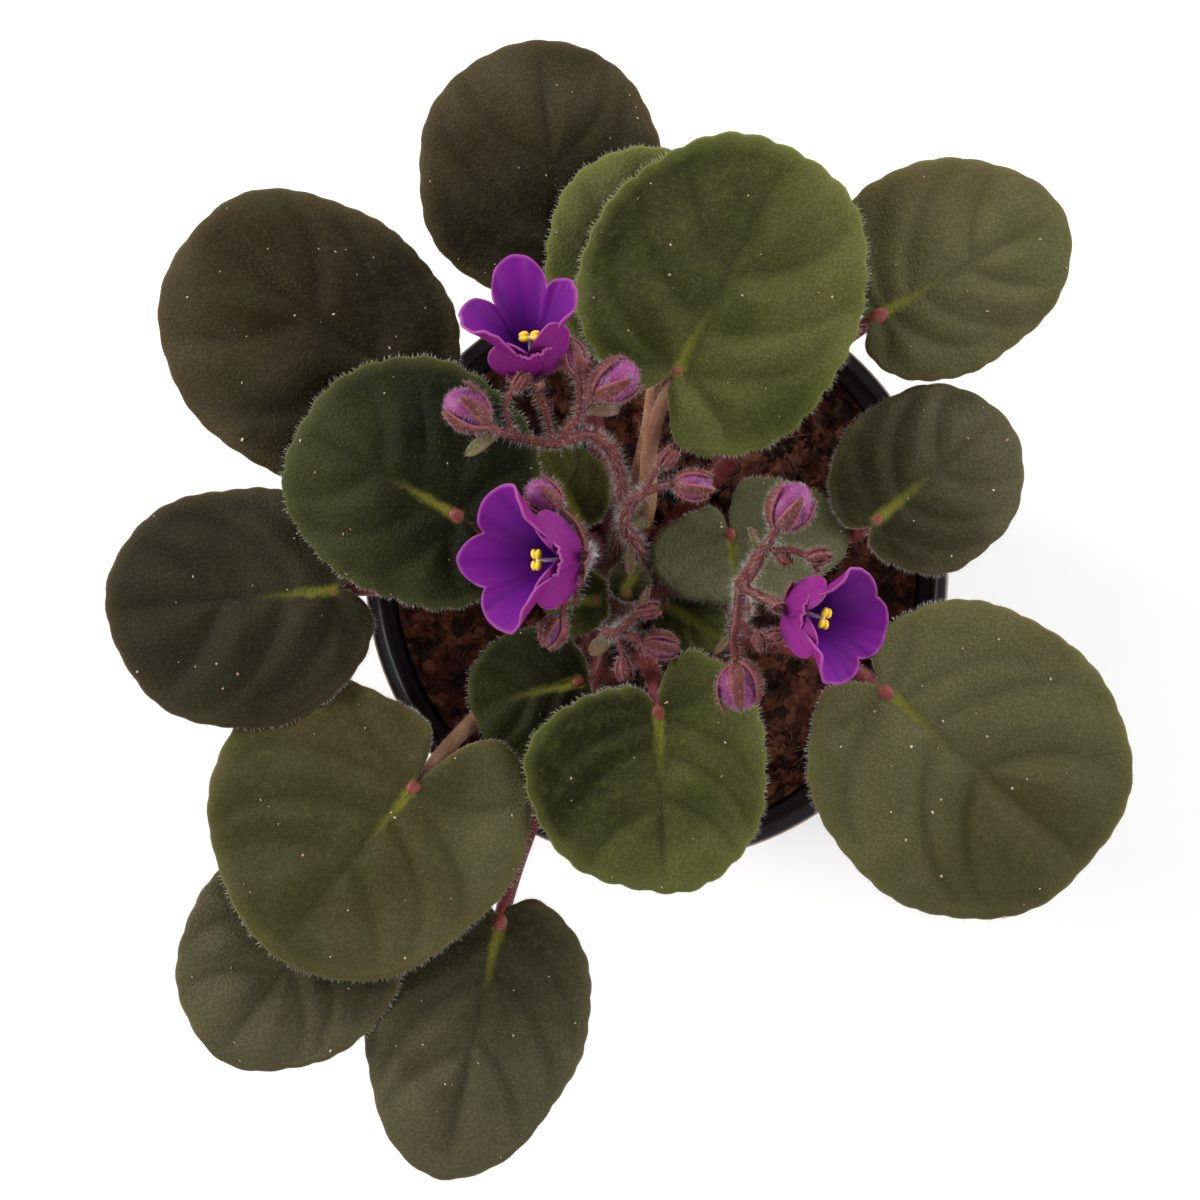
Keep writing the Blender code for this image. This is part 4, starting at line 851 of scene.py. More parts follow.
def grow_leaf(leaf, seed):
    """One leaf: blade, stalk, swelling, hairs and grit."""
    rng = np.random.default_rng(seed)
    heading = math.radians(leaf.heading)
    forward_way = Vector((math.cos(heading), math.sin(heading)))
    left_way = Vector((-forward_way.y, forward_way.x))
    length = leaf.ahead + leaf.front
    girth = 0.25 * (leaf.front + sum(leaf.sides) + leaf.back[0])
    teeth = max(14, round(2 * math.pi * girth / TOOTH_PITCH))

    def shape(reach, angle):
        spread = angle + 0.35 * math.sin(angle)
        scallop = leaf.tooth * (abs(math.cos(0.5 * teeth * spread)) - 0.6) * reach ** 12
        edge = blade_reach(leaf, spread)
        wobble = 1 + 0.014 * math.sin(3 * spread + seed) + 0.009 * math.sin(7 * spread + 2 * seed)
        run = reach * edge * wobble + scallop
        ahead = leaf.ahead + run * math.cos(spread)
        aside = run * math.sin(spread)
        plan = Vector(leaf.at[:2]) + ahead * forward_way + aside * left_way
        wave = 0.03 * edge * reach ** 3 * math.sin(EDGE_WAVES * spread + leaf.heading)
        ripple = 0.25 * reach ** 6 * math.sin(13 * spread + seed)
        return (*plan, blade_height(leaf, ahead, aside) + wave + ripple), (ahead - leaf.joint, aside, reach)

    disc = spun_disc(96 if leaf.small else 168, 12 if leaf.small else 20)
    blade = sheet(disc, shape, BLADE_THICKNESS, leaf.name, LOOKS[leaf.look], leaf_back, leaf_rim)
    mesh = blade.data
    notes, places = rows(mesh.attributes["note"].data, "vector"), rows(mesh.vertices, "co")
    gap = from_veins(notes[:, :2], vein_lines(leaf, rng))
    puff = PUFF * (1 - np.exp(-(gap / (0.10 * length)) ** 1.25)) * (1 - notes[:, 2] ** 6)
    puff *= 1 + 0.22 * sum(np.sin(notes[:, :2] @ rng.normal(size=2) / 5.0 + ALL_ROUND * rng.random())
                           for wave in range(3))
    places[:, 2] += MM * length * (puff - GROOVE * (1 - notes[:, 2] ** 3))
    mesh.vertices.foreach_set("co", places.reshape(-1))
    vein = mesh.attributes.new("vein", "FLOAT", "POINT")
    vein.data.foreach_set("value", np.exp(-(gap / (0.022 * length)) ** 2) * (1 - notes[:, 2] ** 8))
    # Painted light: paler towards the leaf's pale way and towards its edge, shifted by the leaf's own tone.
    outer = mesh.attributes.new("outer", "FLOAT", "POINT")
    pale = math.radians(leaf.heading + leaf.pale)
    middle = np.array(leaf.at[:2]) + leaf.ahead * np.array(forward_way)
    across = (places[:, :2] / MM - middle) @ (math.cos(pale), math.sin(pale)) / (0.5 * length)
    paler = 0.4 + 0.5 * across + 0.25 * notes[:, 2] ** 3 + leaf.tone
    outer.data.foreach_set("value", np.clip(paler, 0, 1))
    mesh.update()

    path, radii = petiole_path(leaf)
    stalk = tube(path, radii, 14, "stalk", STALKS[leaf.stalk])
    swelling = bmesh.new()
    turn = Matrix.Rotation(heading, 4, "Z")
    neck = NECK * leaf.petiole
    knob = Vector(leaf.at[:2]) + leaf.joint * forward_way
    knob = Vector((*knob, blade_height(leaf, leaf.joint, 0.0) - GROOVE * length))
    bmesh.ops.create_uvsphere(swelling, u_segments=20, v_segments=12, radius=MM,
                              matrix=Matrix.Translation(MM * knob) @ turn
                              @ Matrix.Diagonal((1.3 * neck, 1.0 * neck, 0.6 * neck, 1.0)))
    swelling = piece_of(mesh_from(swelling, "swelling"), "swelling", stalk_pink)

    top, ways = skin_points(mesh, FACE_DOWN[0], rng, slot=0)
    outward = top - np.array([*(MM * (Vector(leaf.at[:2]) + leaf.ahead * forward_way)), MM * leaf.at[2]])
    outward /= np.linalg.norm(outward, axis=1, keepdims=True)
    down = hairs(top, ways + 1.2 * outward, FACE_DOWN, rng, leaf_hair)
    fringe_places, fringe_ways = [], []
    rim = np.linspace(-math.pi, math.pi, int(2 * math.pi * girth * EDGE_DOWN[0]), endpoint=False)
    for angle in rim + rng.normal(size=len(rim)) * 0.01:
        place, inner = (np.array(shape(reach, angle)[0]) for reach in (1.0, 0.96))
        fringe_places.append((place - (0, 0, 0.35 * BLADE_THICKNESS + 0.2 * rng.random())) * MM)
        fringe_ways.append((place - inner) / np.linalg.norm(place - inner))
    fringe = hairs(np.array(fringe_places), np.array(fringe_ways), EDGE_DOWN, rng, edge_hair)
    stalk_down = downy([stalk], STALK_DOWN, rng, stem_hair)
    grains, ways = skin_points(mesh, GRAINS, rng, slot=0)
    count = len(grains)
    specks = copies(rough_stone(seed), grains + 0.1 * MM * ways, rng.normal(size=(count, 3)),
                    (0.22 + 0.5 * rng.random((count, 2)) ** 3) * MM,
                    (0.3 + 0.6 * rng.random(count) ** 3) * MM, rng.random(count), "specks", grit)
    finished([blade, stalk, swelling, down, fringe, *stalk_down, specks], leaf.name + "_grown", leaf.name)


for number, leaf in enumerate(LEAVES):
    grow_leaf(leaf, LEAF_SEED + number)


# ---------------------------------------------------------------- sprays, flowers and buds
# Each spray is a soft hairy stem that forks into short flower stalks. Five narrow sepals hold every bud and
# flower. A flower is a bell of three large petals, with two small ones upright behind its yellow anthers.

TUBE_RADIUS = 1.2            # of the throat, where the petals start
PETAL_THICKNESS = 0.45
PETAL_FOOT = 0.42            # share of a petal's reach that lies within its widest place
WALL_EDGE = 7.0              # reach of the bell's edge behind the small petals
WALL = (16.0, 62, (70, 62))  # reach, half angle and leans of the wall there
HOOD_BLUNTNESS = 2.6
STEM_DOWN = (4.2, 1.7, 0.030, 0.12)
CALYX_DOWN = (3.0, 1.0, 0.028, 0.30)
BUD_DOWN = (5.0, 0.8, 0.030, 0.30)
OPEN_CALYX = (6.2, 5.2, 60, 1.2)        # girth, height, spread and half width of the sepals
ANTHER_LOBE = (1.25, 1.9)
SPRAY_SEED = 300


@dataclass
class Petal:
    """A petal that spreads from the throat as part of a bell. Its way is degrees round the facing from the
    crest."""
    way: float
    reach: float
    half_angle: float
    leans: tuple             # its slope at the throat and at the tip, in degrees
    bluntness: float = 3.0


@dataclass
class Hood:
    """One of the two small petals that stand behind the anthers. Its way is degrees from the facing."""
    way: float
    reach: float
    half_width: float
    layer: float = 0.0


@dataclass
class Bud:
    """A closed flower and the pedicel that carries it, whose knots are (x, y, z, radius)."""
    name: str
    centre: tuple
    axis: tuple
    width: float
    length: float
    pedicel: tuple
    wrap: float = 128.0      # how far the sepals reach round it, in degrees from its foot


@dataclass
class Flower:
    """An open flower. Crest is the way of its two small petals, as seen along the facing."""
    name: str
    foot: tuple
    facing: tuple
    crest: tuple
    head: tuple              # how far the anthers are along the facing and towards the crest
    petals: tuple
    hoods: tuple
    pedicel: tuple


@dataclass
class Spray:
    name: str
    stems: tuple
    buds: tuple
    flowers: tuple = ()
    bracts: tuple = ()       # (foot, tip, width)
    beads: tuple = ()        # (centre, axis, width, length) of the youngest buds


SPRAYS = (Spray(
    "spray_a",
    stems=(
        ((-7.8, 3.2, 90, 1.3), (-7.4, 6.0, 93.5, 1.3), (-6.4, 12.0, 101, 1.25), (-7.2, 18.2, 108, 1.2),
         (-9.2, 22.3, 113, 1.15), (-13.6, 24.4, 118, 1.1), (-19.1, 22.6, 120, 1.1)),
        ((-26.8, 24.3, 121.6, 0.6), (-27.7, 29.9, 124, 0.55), (-25.5, 33.1, 125, 0.6)),
    ),
    flowers=(Flower("a", (-22.9, 36.2, 123.0), (-0.06, 0.68, 0.73), (0.06, -0.97, 0.6), (7.4, -0.6),
                    (Petal(188, 21.5, 39, (64, 32), 1.7), Petal(-86, 18.6, 54, (61, 38), 3.0),
                     Petal(118, 19.5, 42, (71, 55), 2.2)),
                    (Hood(-40, 9.8, 3.9, 0.3), Hood(27, 12.6, 3.3)),
                    ((-19.1, 22.6, 120, 0.9), (-20.6, 28.8, 120.6, 0.75))),),
    buds=(
        Bud("bud_a1", (-34.8, 28.7, 126), (-0.75, 0.55, 0.25), 7.6, 8.6,
            ((-19.1, 22.6, 120, 0.9), (-23.9, 23.4, 121, 0.8), (-28.6, 24.6, 122.4, 0.75))),
        Bud("bud_a2", (-7.7, 34.0, 124), (0.85, 0.5, 0.1), 7.6, 8.6,
            ((-19.1, 22.6, 120, 0.9), (-15.6, 26.4, 121, 0.8), (-13.0, 29.8, 122.6, 0.75))),
        Bud("bud_a3", (-15.6, 38.1, 125.5), (-0.2, 0.95, 0.15), 4.6, 5.2,
            ((-14.6, 27.9, 121.8, 0.65), (-14.5, 32.0, 123.6, 0.6)), 170),
    ),
    bracts=(((-29.3, 24.8, 122.3), (-35.0, 20.6, 119.5), 3.2),
            ((-13.2, 28.8, 122.2), (-7.3, 28.6, 120.5), 3.0)),
    beads=(((-25.0, 33.8, 125.2), (0.5, 0.8, 0.1), 2.6, 3.4),),
), Spray(
    "spray_b",
    stems=(
        ((-11.9, 1.1, 90, 1.1), (-12.7, 3.2, 93.5, 1.1), (-13.2, 3.6, 104, 1.05), (-13.3, 1.8, 115.5, 1.0)),
        ((-13.3, 1.8, 115.5, 0.8), (-14.7, -3.0, 115.6, 0.6), (-15.5, -6.6, 115, 0.7)),
    ),
    flowers=(Flower("b", (-15.9, 1.6, 117.0), (-0.72, 0.0, 0.70), (1.0, 0.0, 0.8), (7.4, -1.5),
                    (Petal(180, 21.5, 42, (64, 32), 1.6), Petal(-109, 20.0, 53, (64, 34), 2.8),
                     Petal(110, 20.6, 51, (64, 34), 3.0)),
                    (Hood(-39, 12.0, 3.9), Hood(39, 12.4, 3.4, 0.3)),
                    ((-13.3, 1.8, 115.5, 0.9),)),),
    buds=(
        Bud("bud_b1", (-21.0, 13.2, 119), (-0.75, 0.6, 0.25), 6.0, 7.2,
            ((-13.3, 1.8, 115.5, 0.8), (-13.9, 5.4, 116.2, 0.7), (-15.4, 8.6, 117.0, 0.65))),
        Bud("bud_b2", (-19.2, -11.4, 116), (-0.4, -0.9, 0.0), 4.8, 5.6,
            ((-13.3, 1.8, 115.5, 0.8), (-15.6, -2.6, 118, 0.6), (-17.2, -6.2, 117.4, 0.6)), 165),
    ),
), Spray(
    "spray_c",
    stems=(
        ((-3.4, 1.8, 90, 1.4), (-3.6, 3.6, 95, 1.4), (-5.9, 8.0, 103, 1.3), (-4.9, 12.4, 109, 1.1),
         (-2.0, 14.3, 112, 0.9)),
        ((-3.0, 13.8, 111.4, 0.7), (-0.8, 17.4, 113.6, 0.55), (1.0, 19.4, 115, 0.6)),
    ),
    buds=(
        Bud("bud_c1", (6.4, 15.2, 114), (1.0, -0.1, 0.1), 5.4, 6.6,
            ((-2.0, 14.3, 112, 0.9), (0.0, 15.0, 112.6, 0.7)), 150),
    ),
    bracts=(((-5.6, 9.4, 104.5), (-1.6, 8.0, 107.0), 2.6), ((-5.3, 4.6, 98.0), (-5.2, -1.2, 102.0), 2.6)),
    beads=(((1.6, 20.2, 115.4), (0.6, 0.8, 0.2), 2.8, 3.6),),
), Spray(
    "spray_d",
    stems=(
        ((-1.6, -4.3, 89.4, 1.3), (4.5, -3.8, 90.0, 1.3), (10.5, -4.0, 90.8, 1.3), (15.0, -8.2, 93.6, 1.3),
         (15.9, -7.2, 100, 1.25), (15.0, -3.1, 112, 1.25)),
        ((15.0, -3.1, 112, 1.3), (17.4, 0.8, 115.6, 1.3), (18.9, 3.2, 118, 1.2)),
        ((18.9, 3.2, 118, 0.7), (23.7, 3.4, 119, 0.6), (27.6, 2.1, 120, 0.7)),
        ((27.0, 2.3, 119.9, 0.6), (29.0, -0.4, 119.2, 0.6)),
        ((20.4, 3.3, 118.3, 0.6), (22.6, 2.0, 117.8, 0.5)),
        ((14.4, -9.0, 113, 0.7), (17.2, -12.0, 113.2, 0.6), (20.4, -12.4, 113, 0.6)),
    ),
    flowers=(Flower("d", (24.2, -7.4, 121.0), (0.68, -0.19, 0.70), (-1.0, 0.28, 0.8), (7.0, -1.2),
                    (Petal(184, 18.0, 44, (64, 34), 2.9), Petal(-111, 16.6, 54, (64, 40), 3.0),
                     Petal(107, 17.5, 53, (64, 38), 2.6)),
                    (Hood(-36, 9.8, 3.3, 0.3), Hood(38, 10.8, 3.5)),
                    ((15.0, -3.1, 112, 1.0), (19.4, -5.4, 116.6, 0.8))),),
    buds=(
        Bud("bud_d1", (23.7, 11.3, 125), (0.5, 0.83, 0.25), 7.8, 8.8,
            ((18.9, 3.2, 118, 0.9), (20.2, 5.4, 120.4, 0.8))),
        Bud("bud_d2", (14.8, -21.6, 113), (0.1, -1.0, 0.05), 7.8, 8.4,
            ((15.0, -3.1, 112, 1.1), (14.4, -8.4, 113, 0.95), (13.6, -13.0, 113, 0.85)), 145),
    ),
    bracts=(((18.6, 2.6, 117.4), (16.4, 7.6, 118.0), 2.0), ((14.0, -11.2, 113), (10.4, -15.4, 111), 1.8)),
    beads=(((28.9, 2.3, 120.6), (0.9, 0.2, 0.3), 2.8, 3.6), ((22.6, 2.0, 117.8), (0.7, -0.6, 0.2), 2.2, 3.0),
           ((18.4, -13.2, 113.6), (0.2, -0.9, 0.3), 2.4, 3.0),
           ((21.2, -12.2, 113.4), (0.9, 0.2, 0.3), 2.6, 3.2)),
), Spray(
    "spray_e",
    stems=(
        ((-6.3, -8.8, 90, 1.1), (-6.4, -10.6, 94.5, 1.1), (-8.3, -12.0, 100.5, 1.05), (-9.4, -11.6, 104, 1.0),
         (-7.2, -11.4, 105.4, 0.8), (-5.2, -9.4, 106.4, 0.7), (-3.2, -7.8, 107, 0.7)),
        ((-8.2, -11.5, 105, 0.7), (-7.0, -14.1, 103.8, 0.6), (-6.3, -16.8, 102.4, 0.6)),
    ),
    buds=(
        Bud("bud_e1", (0.6, -13.9, 103.6), (0.95, -0.2, 0.05), 5.0, 6.0,
            ((-7.6, -11.6, 105.2, 0.8), (-5.2, -12.2, 105, 0.7)), 165),
    ),
    bracts=(((-3.6, -8.0, 106.8), (-1.8, -3.4, 108.0), 2.0),
            ((-8.4, -12.0, 101.0), (-12.6, -15.6, 99.6), 4.0)),
    beads=(((-1.9, -7.4, 107.2), (0.9, 0.2, 0.1), 3.0, 3.8),
           ((-6.1, -18.4, 101.8), (0.1, -0.9, -0.1), 3.4, 4.2)),
))


def axes_along(axis, beside):
    """Three unit directions: along the axis, the part of beside that is square to it, and the third one."""
    along = Vector(axis).normalized()
    first = (Vector(beside) - along * along.dot(Vector(beside))).normalized()
    return along, first, along.cross(first)


def strip(shape, long_steps, cross_steps, thickness, name, material):
    """A thin sheet from shape(along, across), along from 0 to 1 and across from -1 to 1."""
    grid = bmesh.new()
    bmesh.ops.create_grid(grid, x_segments=long_steps, y_segments=cross_steps, size=1.0)
    note = grid.verts.layers.float_vector.new("note")
    for point in grid.verts:
        along, across = 0.5 + 0.5 * point.co.x, point.co.y
        point.co = MM * Vector(shape(along, across))
        point[note] = Vector((along, across, 0.0))
    return walled(grid, thickness, 0.0, name, material)


stem_skin = Finish("stem_skin")
flush = stem_skin.cloud(4.0, 3.0)
stem_finish = stem_skin.done(
    Base_Color=stem_skin.mix(flush.rise(0.35, 0.65), (0.085, 0.012, 0.013), (0.15, 0.028, 0.024)),
    Roughness=0.5,
    Normal=stem_skin.bump(stem_skin.cloud(0.5), 0.08, 0.6),
    Specular_IOR_Level=0.35,
)

sepal_skin = Finish("sepal_skin")
side = sepal_skin.split(sepal_skin.attribute("note", "Vector"))[1]
mottle = sepal_skin.cloud(1.6, 3.0)
red_brown = sepal_skin.mix(mottle.rise(0.3, 0.7), (0.085, 0.016, 0.016), (0.15, 0.036, 0.030))
sepal_finish = sepal_skin.done(
    Base_Color=sepal_skin.mix(side.size().rise(0.45, 1.0) * 0.7, red_brown, (0.30, 0.085, 0.10)),
    Roughness=0.55,
    Normal=sepal_skin.bump(mottle, 0.10, 0.6),
    Specular_IOR_Level=0.3,
)
bract_finish = plain_leaf_finish("bract_skin", (0.10, 0.11, 0.035), (0.16, 0.060, 0.045), 2.5, 0.6)

bud_skin = Finish("bud_skin")
height, seam = bud_skin.split(bud_skin.attribute("note", "Vector"))[:2]
bloom = bud_skin.cloud(1.2, 3.0)
pink = bud_skin.mix(height.rise(0.15, 0.95), (0.16, 0.012, 0.09), (0.21, 0.020, 0.15))
pink = bud_skin.mix(bloom.rise(0.5, 0.8) * 0.35, pink, (0.32, 0.07, 0.22))
bud_finish = bud_skin.done(
    Base_Color=bud_skin.mix(seam * 0.9, pink, (0.060, 0.005, 0.085)),
    Roughness=0.55,
    Normal=bud_skin.bump(bloom, 0.08, 0.6),
)


def petal_skin(name, throat, face, edge, outline):
    """A petal's velvet: dark at the throat, with faint rays, a redder border, painted shade in the folds
    where petals meet, and a pale edge line.
    """
    petal = Finish(name)
    along, across, reach = petal.split(petal.attribute("note", "Vector"))
    grain = petal.cloud(0.35, 3.0)
    wash = petal.cloud(4.5, 3.0)
    colour = petal.mix(along.rise(0.10, 0.62), throat, face)
    border = reach.rise(0.45, 1.0) * along.rise(0.35, 0.75) * (wash * 0.9 + 0.25)
    colour = petal.mix(border, colour, edge)
    rays = (across * 11.0 + wash * 2.5).maths("SINE").rise(0.2, 1.0)
    colour = petal.mix(rays * 0.16, colour, scaled(throat, 0.6))
    # Painted shade: darker in the creases where the petals meet, from the sinus inward.
    fold_shade = across.size().rise(0.55, 0.9) * along.rise(0.72, 0.5) * along.rise(0.1, 0.4)
    colour = petal.mix(fold_shade * 0.55, colour, scaled(throat, 0.35))
    line = reach.rise(0.965, 0.995) * along.rise(0.55, 0.75)
    colour = petal.mix(line * 0.45, colour, outline)
    return petal.done(Base_Color=colour, Roughness=grain * 0.2 + 0.45,
                      Normal=petal.bump(rays * 0.5 + grain, 0.06, 0.7), Specular_IOR_Level=0.12)


petal_face = petal_skin("petal_face", (0.036, 0.002, 0.150), (0.098, 0.003, 0.170), (0.160, 0.006, 0.190),
                        (0.38, 0.09, 0.30))
petal_back = petal_skin("petal_back", (0.15, 0.008, 0.13), (0.19, 0.010, 0.16), (0.21, 0.012, 0.17),
                        (0.42, 0.12, 0.32))
pollen = Finish("anther_skin")
anther_finish = pollen.done(Base_Color=pollen.mix(pollen.cloud(0.9), (0.95, 0.52, 0.006), (1.0, 0.74, 0.03)),
                            Roughness=0.4, Normal=pollen.bump(pollen.cloud(0.25), 0.04, 0.5))
thread = Finish("filament_skin")
thread_finish = thread.done(Base_Color=thread.mix(thread.cloud(1.0), (0.62, 0.34, 0.62), (0.80, 0.62, 0.50)),
                            Roughness=0.5)


def bent(knots, per_span):
    """Points along a Catmull-Rom curve through the knots, whose numbers past the third are carried along."""
    knots = [np.array(knot, float) for knot in knots]
    ends = [2 * knots[0] - knots[1], *knots, 2 * knots[-1] - knots[-2]]
    path = []
    for before, start, end, after in zip(ends, ends[1:], ends[2:], ends[3:]):
        for t in np.arange(per_span) / per_span:
            path.append(0.5 * (2 * start + (end - before) * t
                               + (2 * before - 5 * start + 4 * end - after) * t ** 2
                               + (3 * start - before - 3 * end + after) * t ** 3))
    return path + [knots[-1]]


def stem_from(knots):
    """A stem through its (x, y, z, radius) knots."""
    path = bent(knots, 7)
    radii = [max(point[3], 0.3) for point in path]
    return tube([Vector(point[:3]) for point in path], radii, 12, "stem", stem_finish)


def lobe(centre, axis, width, length, finish, fine=24):
    """A smooth egg along its axis."""
    along, first, second = axes_along(axis, (0.1, 0.2, 1.0))
    egg = bmesh.new()
    turn = Matrix((first, second, along)).transposed().to_4x4()
    bmesh.ops.create_uvsphere(egg, u_segments=fine, v_segments=fine // 2, radius=0.5 * MM,
                              matrix=Matrix.Translation(MM * Vector(centre)) @ turn
                              @ Matrix.Diagonal((width, width, length, 1.0)))
    return piece_of(mesh_from(egg, "lobe"), "lobe", finish)


def bud_petals(bud, rng):
    """The closed petals: three that wrap over each other in a slow spiral round the bud."""
    along, first, second = axes_along(bud.axis, (0.0, 0.0, 1.0))
    start = rng.random() * ALL_ROUND
    egg = bmesh.new()
    bmesh.ops.create_uvsphere(egg, u_segments=72, v_segments=36, radius=1.0)
    note = egg.verts.layers.float_vector.new("note")
    for point in egg.verts:
        x, y, z = point.co
        turn = math.atan2(y, x)
        share = ((turn + start + 1.1 * z) / (2 * math.pi / 3)) % 1.0
        tuck = math.exp(-((1 - share) / 0.10)) if share > 0.5 else math.exp(-share / 0.05)
        ring = math.hypot(x, y)
        swell = 1 - 0.10 * tuck * ring - 0.04 * share
        point.co = MM * (Vector(bud.centre)
                         + 0.5 * bud.width * swell * (1 - 0.10 * z) * (x * first + y * second)
                         + 0.5 * bud.length * (z - 0.05 * tuck) * along)
        point[note] = Vector((0.5 + 0.5 * z, tuck * min(1.0, 1.4 * ring), share))
    return piece_of(mesh_from(egg, bud.name), bud.name, bud_finish)


def sepals(centre, axes, girth, height, spread, half_width, rng):
    """Five sepals that start under the centre and lie up round it, over spread degrees, to a narrow tip."""
    centre, (along, first, second) = Vector(centre), axes
    grown = []
    for number in range(5):
        way = 2 * math.pi * number / 5 + 0.3 + 0.12 * rng.normal()
        reach = math.radians(spread) * (0.92 + 0.14 * rng.random())
        curl = 0.05 + 0.25 * rng.random() ** 2

        def shape(share, across):
            turn = reach * share
            wide = half_width * (0.50 + 1.6 * share) * (1 - share) ** 0.8 + 0.12
            off = across * min(wide / max(girth * math.sin(turn), 0.35 * girth), 0.8)
            ring = math.cos(way + off) * first + math.sin(way + off) * second
            out = 1 + curl * share ** 5 + 0.03 * number * (1 - share) + 0.05 * (1 - across ** 2)
            return centre + girth * out * math.sin(turn) * ring - height * out * math.cos(turn) * along

        grown.append(strip(shape, 16, 6, 0.3, "sepal", sepal_finish))
    return grown


def bell_sheet(flower, rng):
    """The three large petals, which are grown together for most of their length, and the low wall behind the
    two small ones. Each petal bends as an arc, and the arcs are blended where petals meet."""
    facing, crest, side = axes_along(flower.facing, flower.crest)
    petals = (*flower.petals, *(Petal(hood.way, *WALL) for hood in flower.hoods))
    phase = ALL_ROUND * rng.random()

    def shape(reach, angle):
        offs = [(math.degrees(angle) - petal.way + 180) % 360 - 180 for petal in petals]
        shares = [min(abs(off) / petal.half_angle, 1.0) for off, petal in zip(offs, petals)]
        rounds = [(1 - share ** petal.bluntness) ** (1 / petal.bluntness)
                  for share, petal in zip(shares, flower.petals)]
        edge = max(WALL_EDGE, *(petal.reach * (PETAL_FOOT + (1 - PETAL_FOOT) * full)
                                for petal, full in zip(flower.petals, rounds)))
        weights = [(1 - share) ** 2 for share in shares]
        low, high, length = (sum(weight * value for weight, value in zip(weights, values)) / sum(weights)
                             for values in zip(*((*petal.leans, petal.reach) for petal in petals)))
        low, high = math.radians(low), math.radians(high)
        lean = low + (high - low) * max(0.0, reach * edge - TUBE_RADIUS) / length
        run = min(reach * edge, TUBE_RADIUS) + length * (math.sin(lean) - math.sin(low)) / (high - low)
        rise = length * (math.cos(low) - math.cos(lean)) / (high - low)
        nearest = min(range(len(petals)), key=lambda number: shares[number])
        inward = reach ** 2 * (0.9 * shares[nearest] ** 4 + 0.25 * math.sin(3 * angle + phase))
        inward += reach ** 6 * (0.22 * math.sin(11 * angle + phase) + 0.16 * math.sin(23 * angle))
        outward = math.cos(angle) * crest + math.sin(angle) * side
        place = (run - inward * math.sin(lean)) * outward + (rise + inward * math.cos(lean)) * facing
        across = math.copysign(shares[nearest], offs[nearest])
        return Vector(flower.foot) + place, (reach, across, reach)

    return sheet(spun_disc(200, 20), shape, PETAL_THICKNESS, "bell", petal_face, petal_back)


def hood_sheet(flower, hood, rng):
    """One of the two small petals, which stand like a bowed wall and curl in a little at the tip."""
    facing, crest, side = axes_along(flower.facing, flower.crest)
    turn = math.radians(hood.way)
    phase = ALL_ROUND * rng.random()

    def shape(reach, angle):
        along, across = (math.copysign(abs(part) ** (2 / HOOD_BLUNTNESS), part)
                         for part in (math.cos(angle), math.sin(angle)))
        along = PETAL_FOOT + reach * along * (1 - PETAL_FOOT if along > 0 else PETAL_FOOT)
        across *= reach
        length, width = hood.reach * along, hood.half_width * across
        aside = math.sin(turn) * length + math.cos(turn) * width
        up = math.cos(turn) * length - math.sin(turn) * width
        out = TUBE_RADIUS + 0.34 * up - 0.032 * up * up - 0.02 * aside * aside
        out += hood.layer + 0.03 * width * width + 0.2 * along ** 2 * math.sin(3 * across + phase)
        return Vector(flower.foot) + out * crest + aside * side + up * facing, (along, across, reach)

    return sheet(spun_disc(64, 12), shape, PETAL_THICKNESS, "hood", petal_face, petal_back)


def bract_sheet(foot, tip, width):
    """A small pointed leaf on a stem."""
    foot, tip = Vector(foot), Vector(tip)
    along, first, second = axes_along(tip - foot, (0.0, 0.0, 1.0))

    def shape(run, across):
        taper = (1 - run) ** 0.6 * (0.35 + 1.3 * run)
        arch = 0.12 * (tip - foot).length * math.sin(math.pi * run) + 0.25 * across ** 2
        return foot + run * (tip - foot) + 0.6 * width * taper * across * second + arch * first

    return strip(shape, 14, 5, 0.4, "bract", bract_finish)


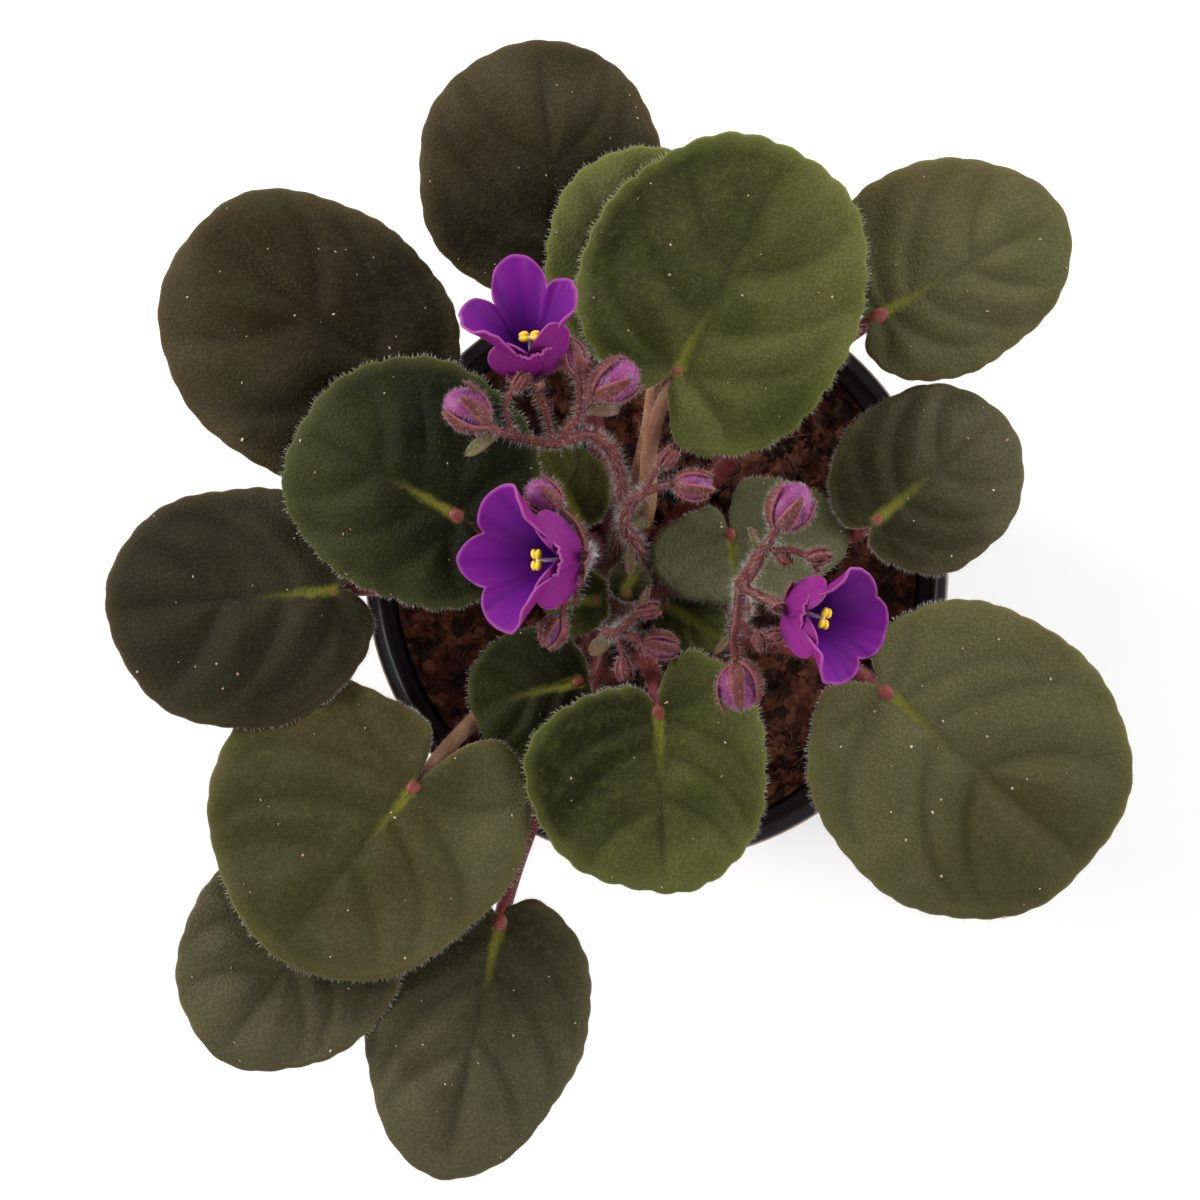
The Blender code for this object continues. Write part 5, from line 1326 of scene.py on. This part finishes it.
for number, spray in enumerate(SPRAYS):
    rng = np.random.default_rng(SPRAY_SEED + number)
    stalks = [stem_from(knots) for knots in spray.stems]
    calyxes = []
    for bud in spray.buds:
        axes = axes_along(bud.axis, (0.0, 0.0, 1.0))
        foot = Vector(bud.centre) - (0.5 * bud.length + 0.5) * axes[0]
        stalks.append(stem_from((*bud.pedicel, (*foot, 0.95))))
        calyxes += sepals(bud.centre, axes, 0.5 * bud.width + 0.15, 0.5 * bud.length + 0.15, bud.wrap,
                          0.24 * bud.width, rng)
        petals = bud_petals(bud, rng)
        fuzz = downy([petals], BUD_DOWN, rng, bud_hair)
        finished([petals, *fuzz], bud.name + "_petals", bud.name)
    for flower in spray.flowers:
        facing, crest, side = axes = axes_along(flower.facing, flower.crest)
        foot = Vector(flower.foot)
        stalks.append(stem_from((*flower.pedicel, (*(foot - 1.1 * facing), 1.1))))
        calyxes += sepals(foot + 4.1 * facing, axes, *OPEN_CALYX, rng)
        petals = [bell_sheet(flower, rng), *(hood_sheet(flower, hood, rng) for hood in flower.hoods)]
        finished(petals, "flower_" + flower.name, "corolla_" + flower.name)
        head = foot + flower.head[0] * facing + flower.head[1] * crest
        thread_path = [foot + facing, foot + 4 * facing, head]
        lobes = [tube(thread_path, [0.45, 0.4, 0.45], 10, "filament", thread_finish)]
        for sideways in (-1.0, 1.0):
            for up in (-0.55, 0.55):
                place = head + 1.05 * sideways * side + up * crest
                lobes.append(lobe(place, side + 0.4 * up * crest, *ANTHER_LOBE, anther_finish))
        finished(lobes, "pollen_" + flower.name, "anthers_" + flower.name)
    leaflets = [bract_sheet(*bract) for bract in spray.bracts]
    young = [lobe(*bead, sepal_finish, 16) for bead in spray.beads]
    for centre, axis, width, length in spray.beads:
        young += sepals(centre, axes_along(axis, (0.1, 0.2, 1.0)), 0.5 * width + 0.1, 0.5 * length + 0.3, 150,
                        0.20 * width, rng)
    fuzz = downy(stalks, STEM_DOWN, rng, stem_hair)
    fuzz += downy(calyxes + leaflets + young, CALYX_DOWN, rng, stem_hair)
    finished([*stalks, *calyxes, *leaflets, *young, *fuzz], spray.name + "_grown", spray.name)
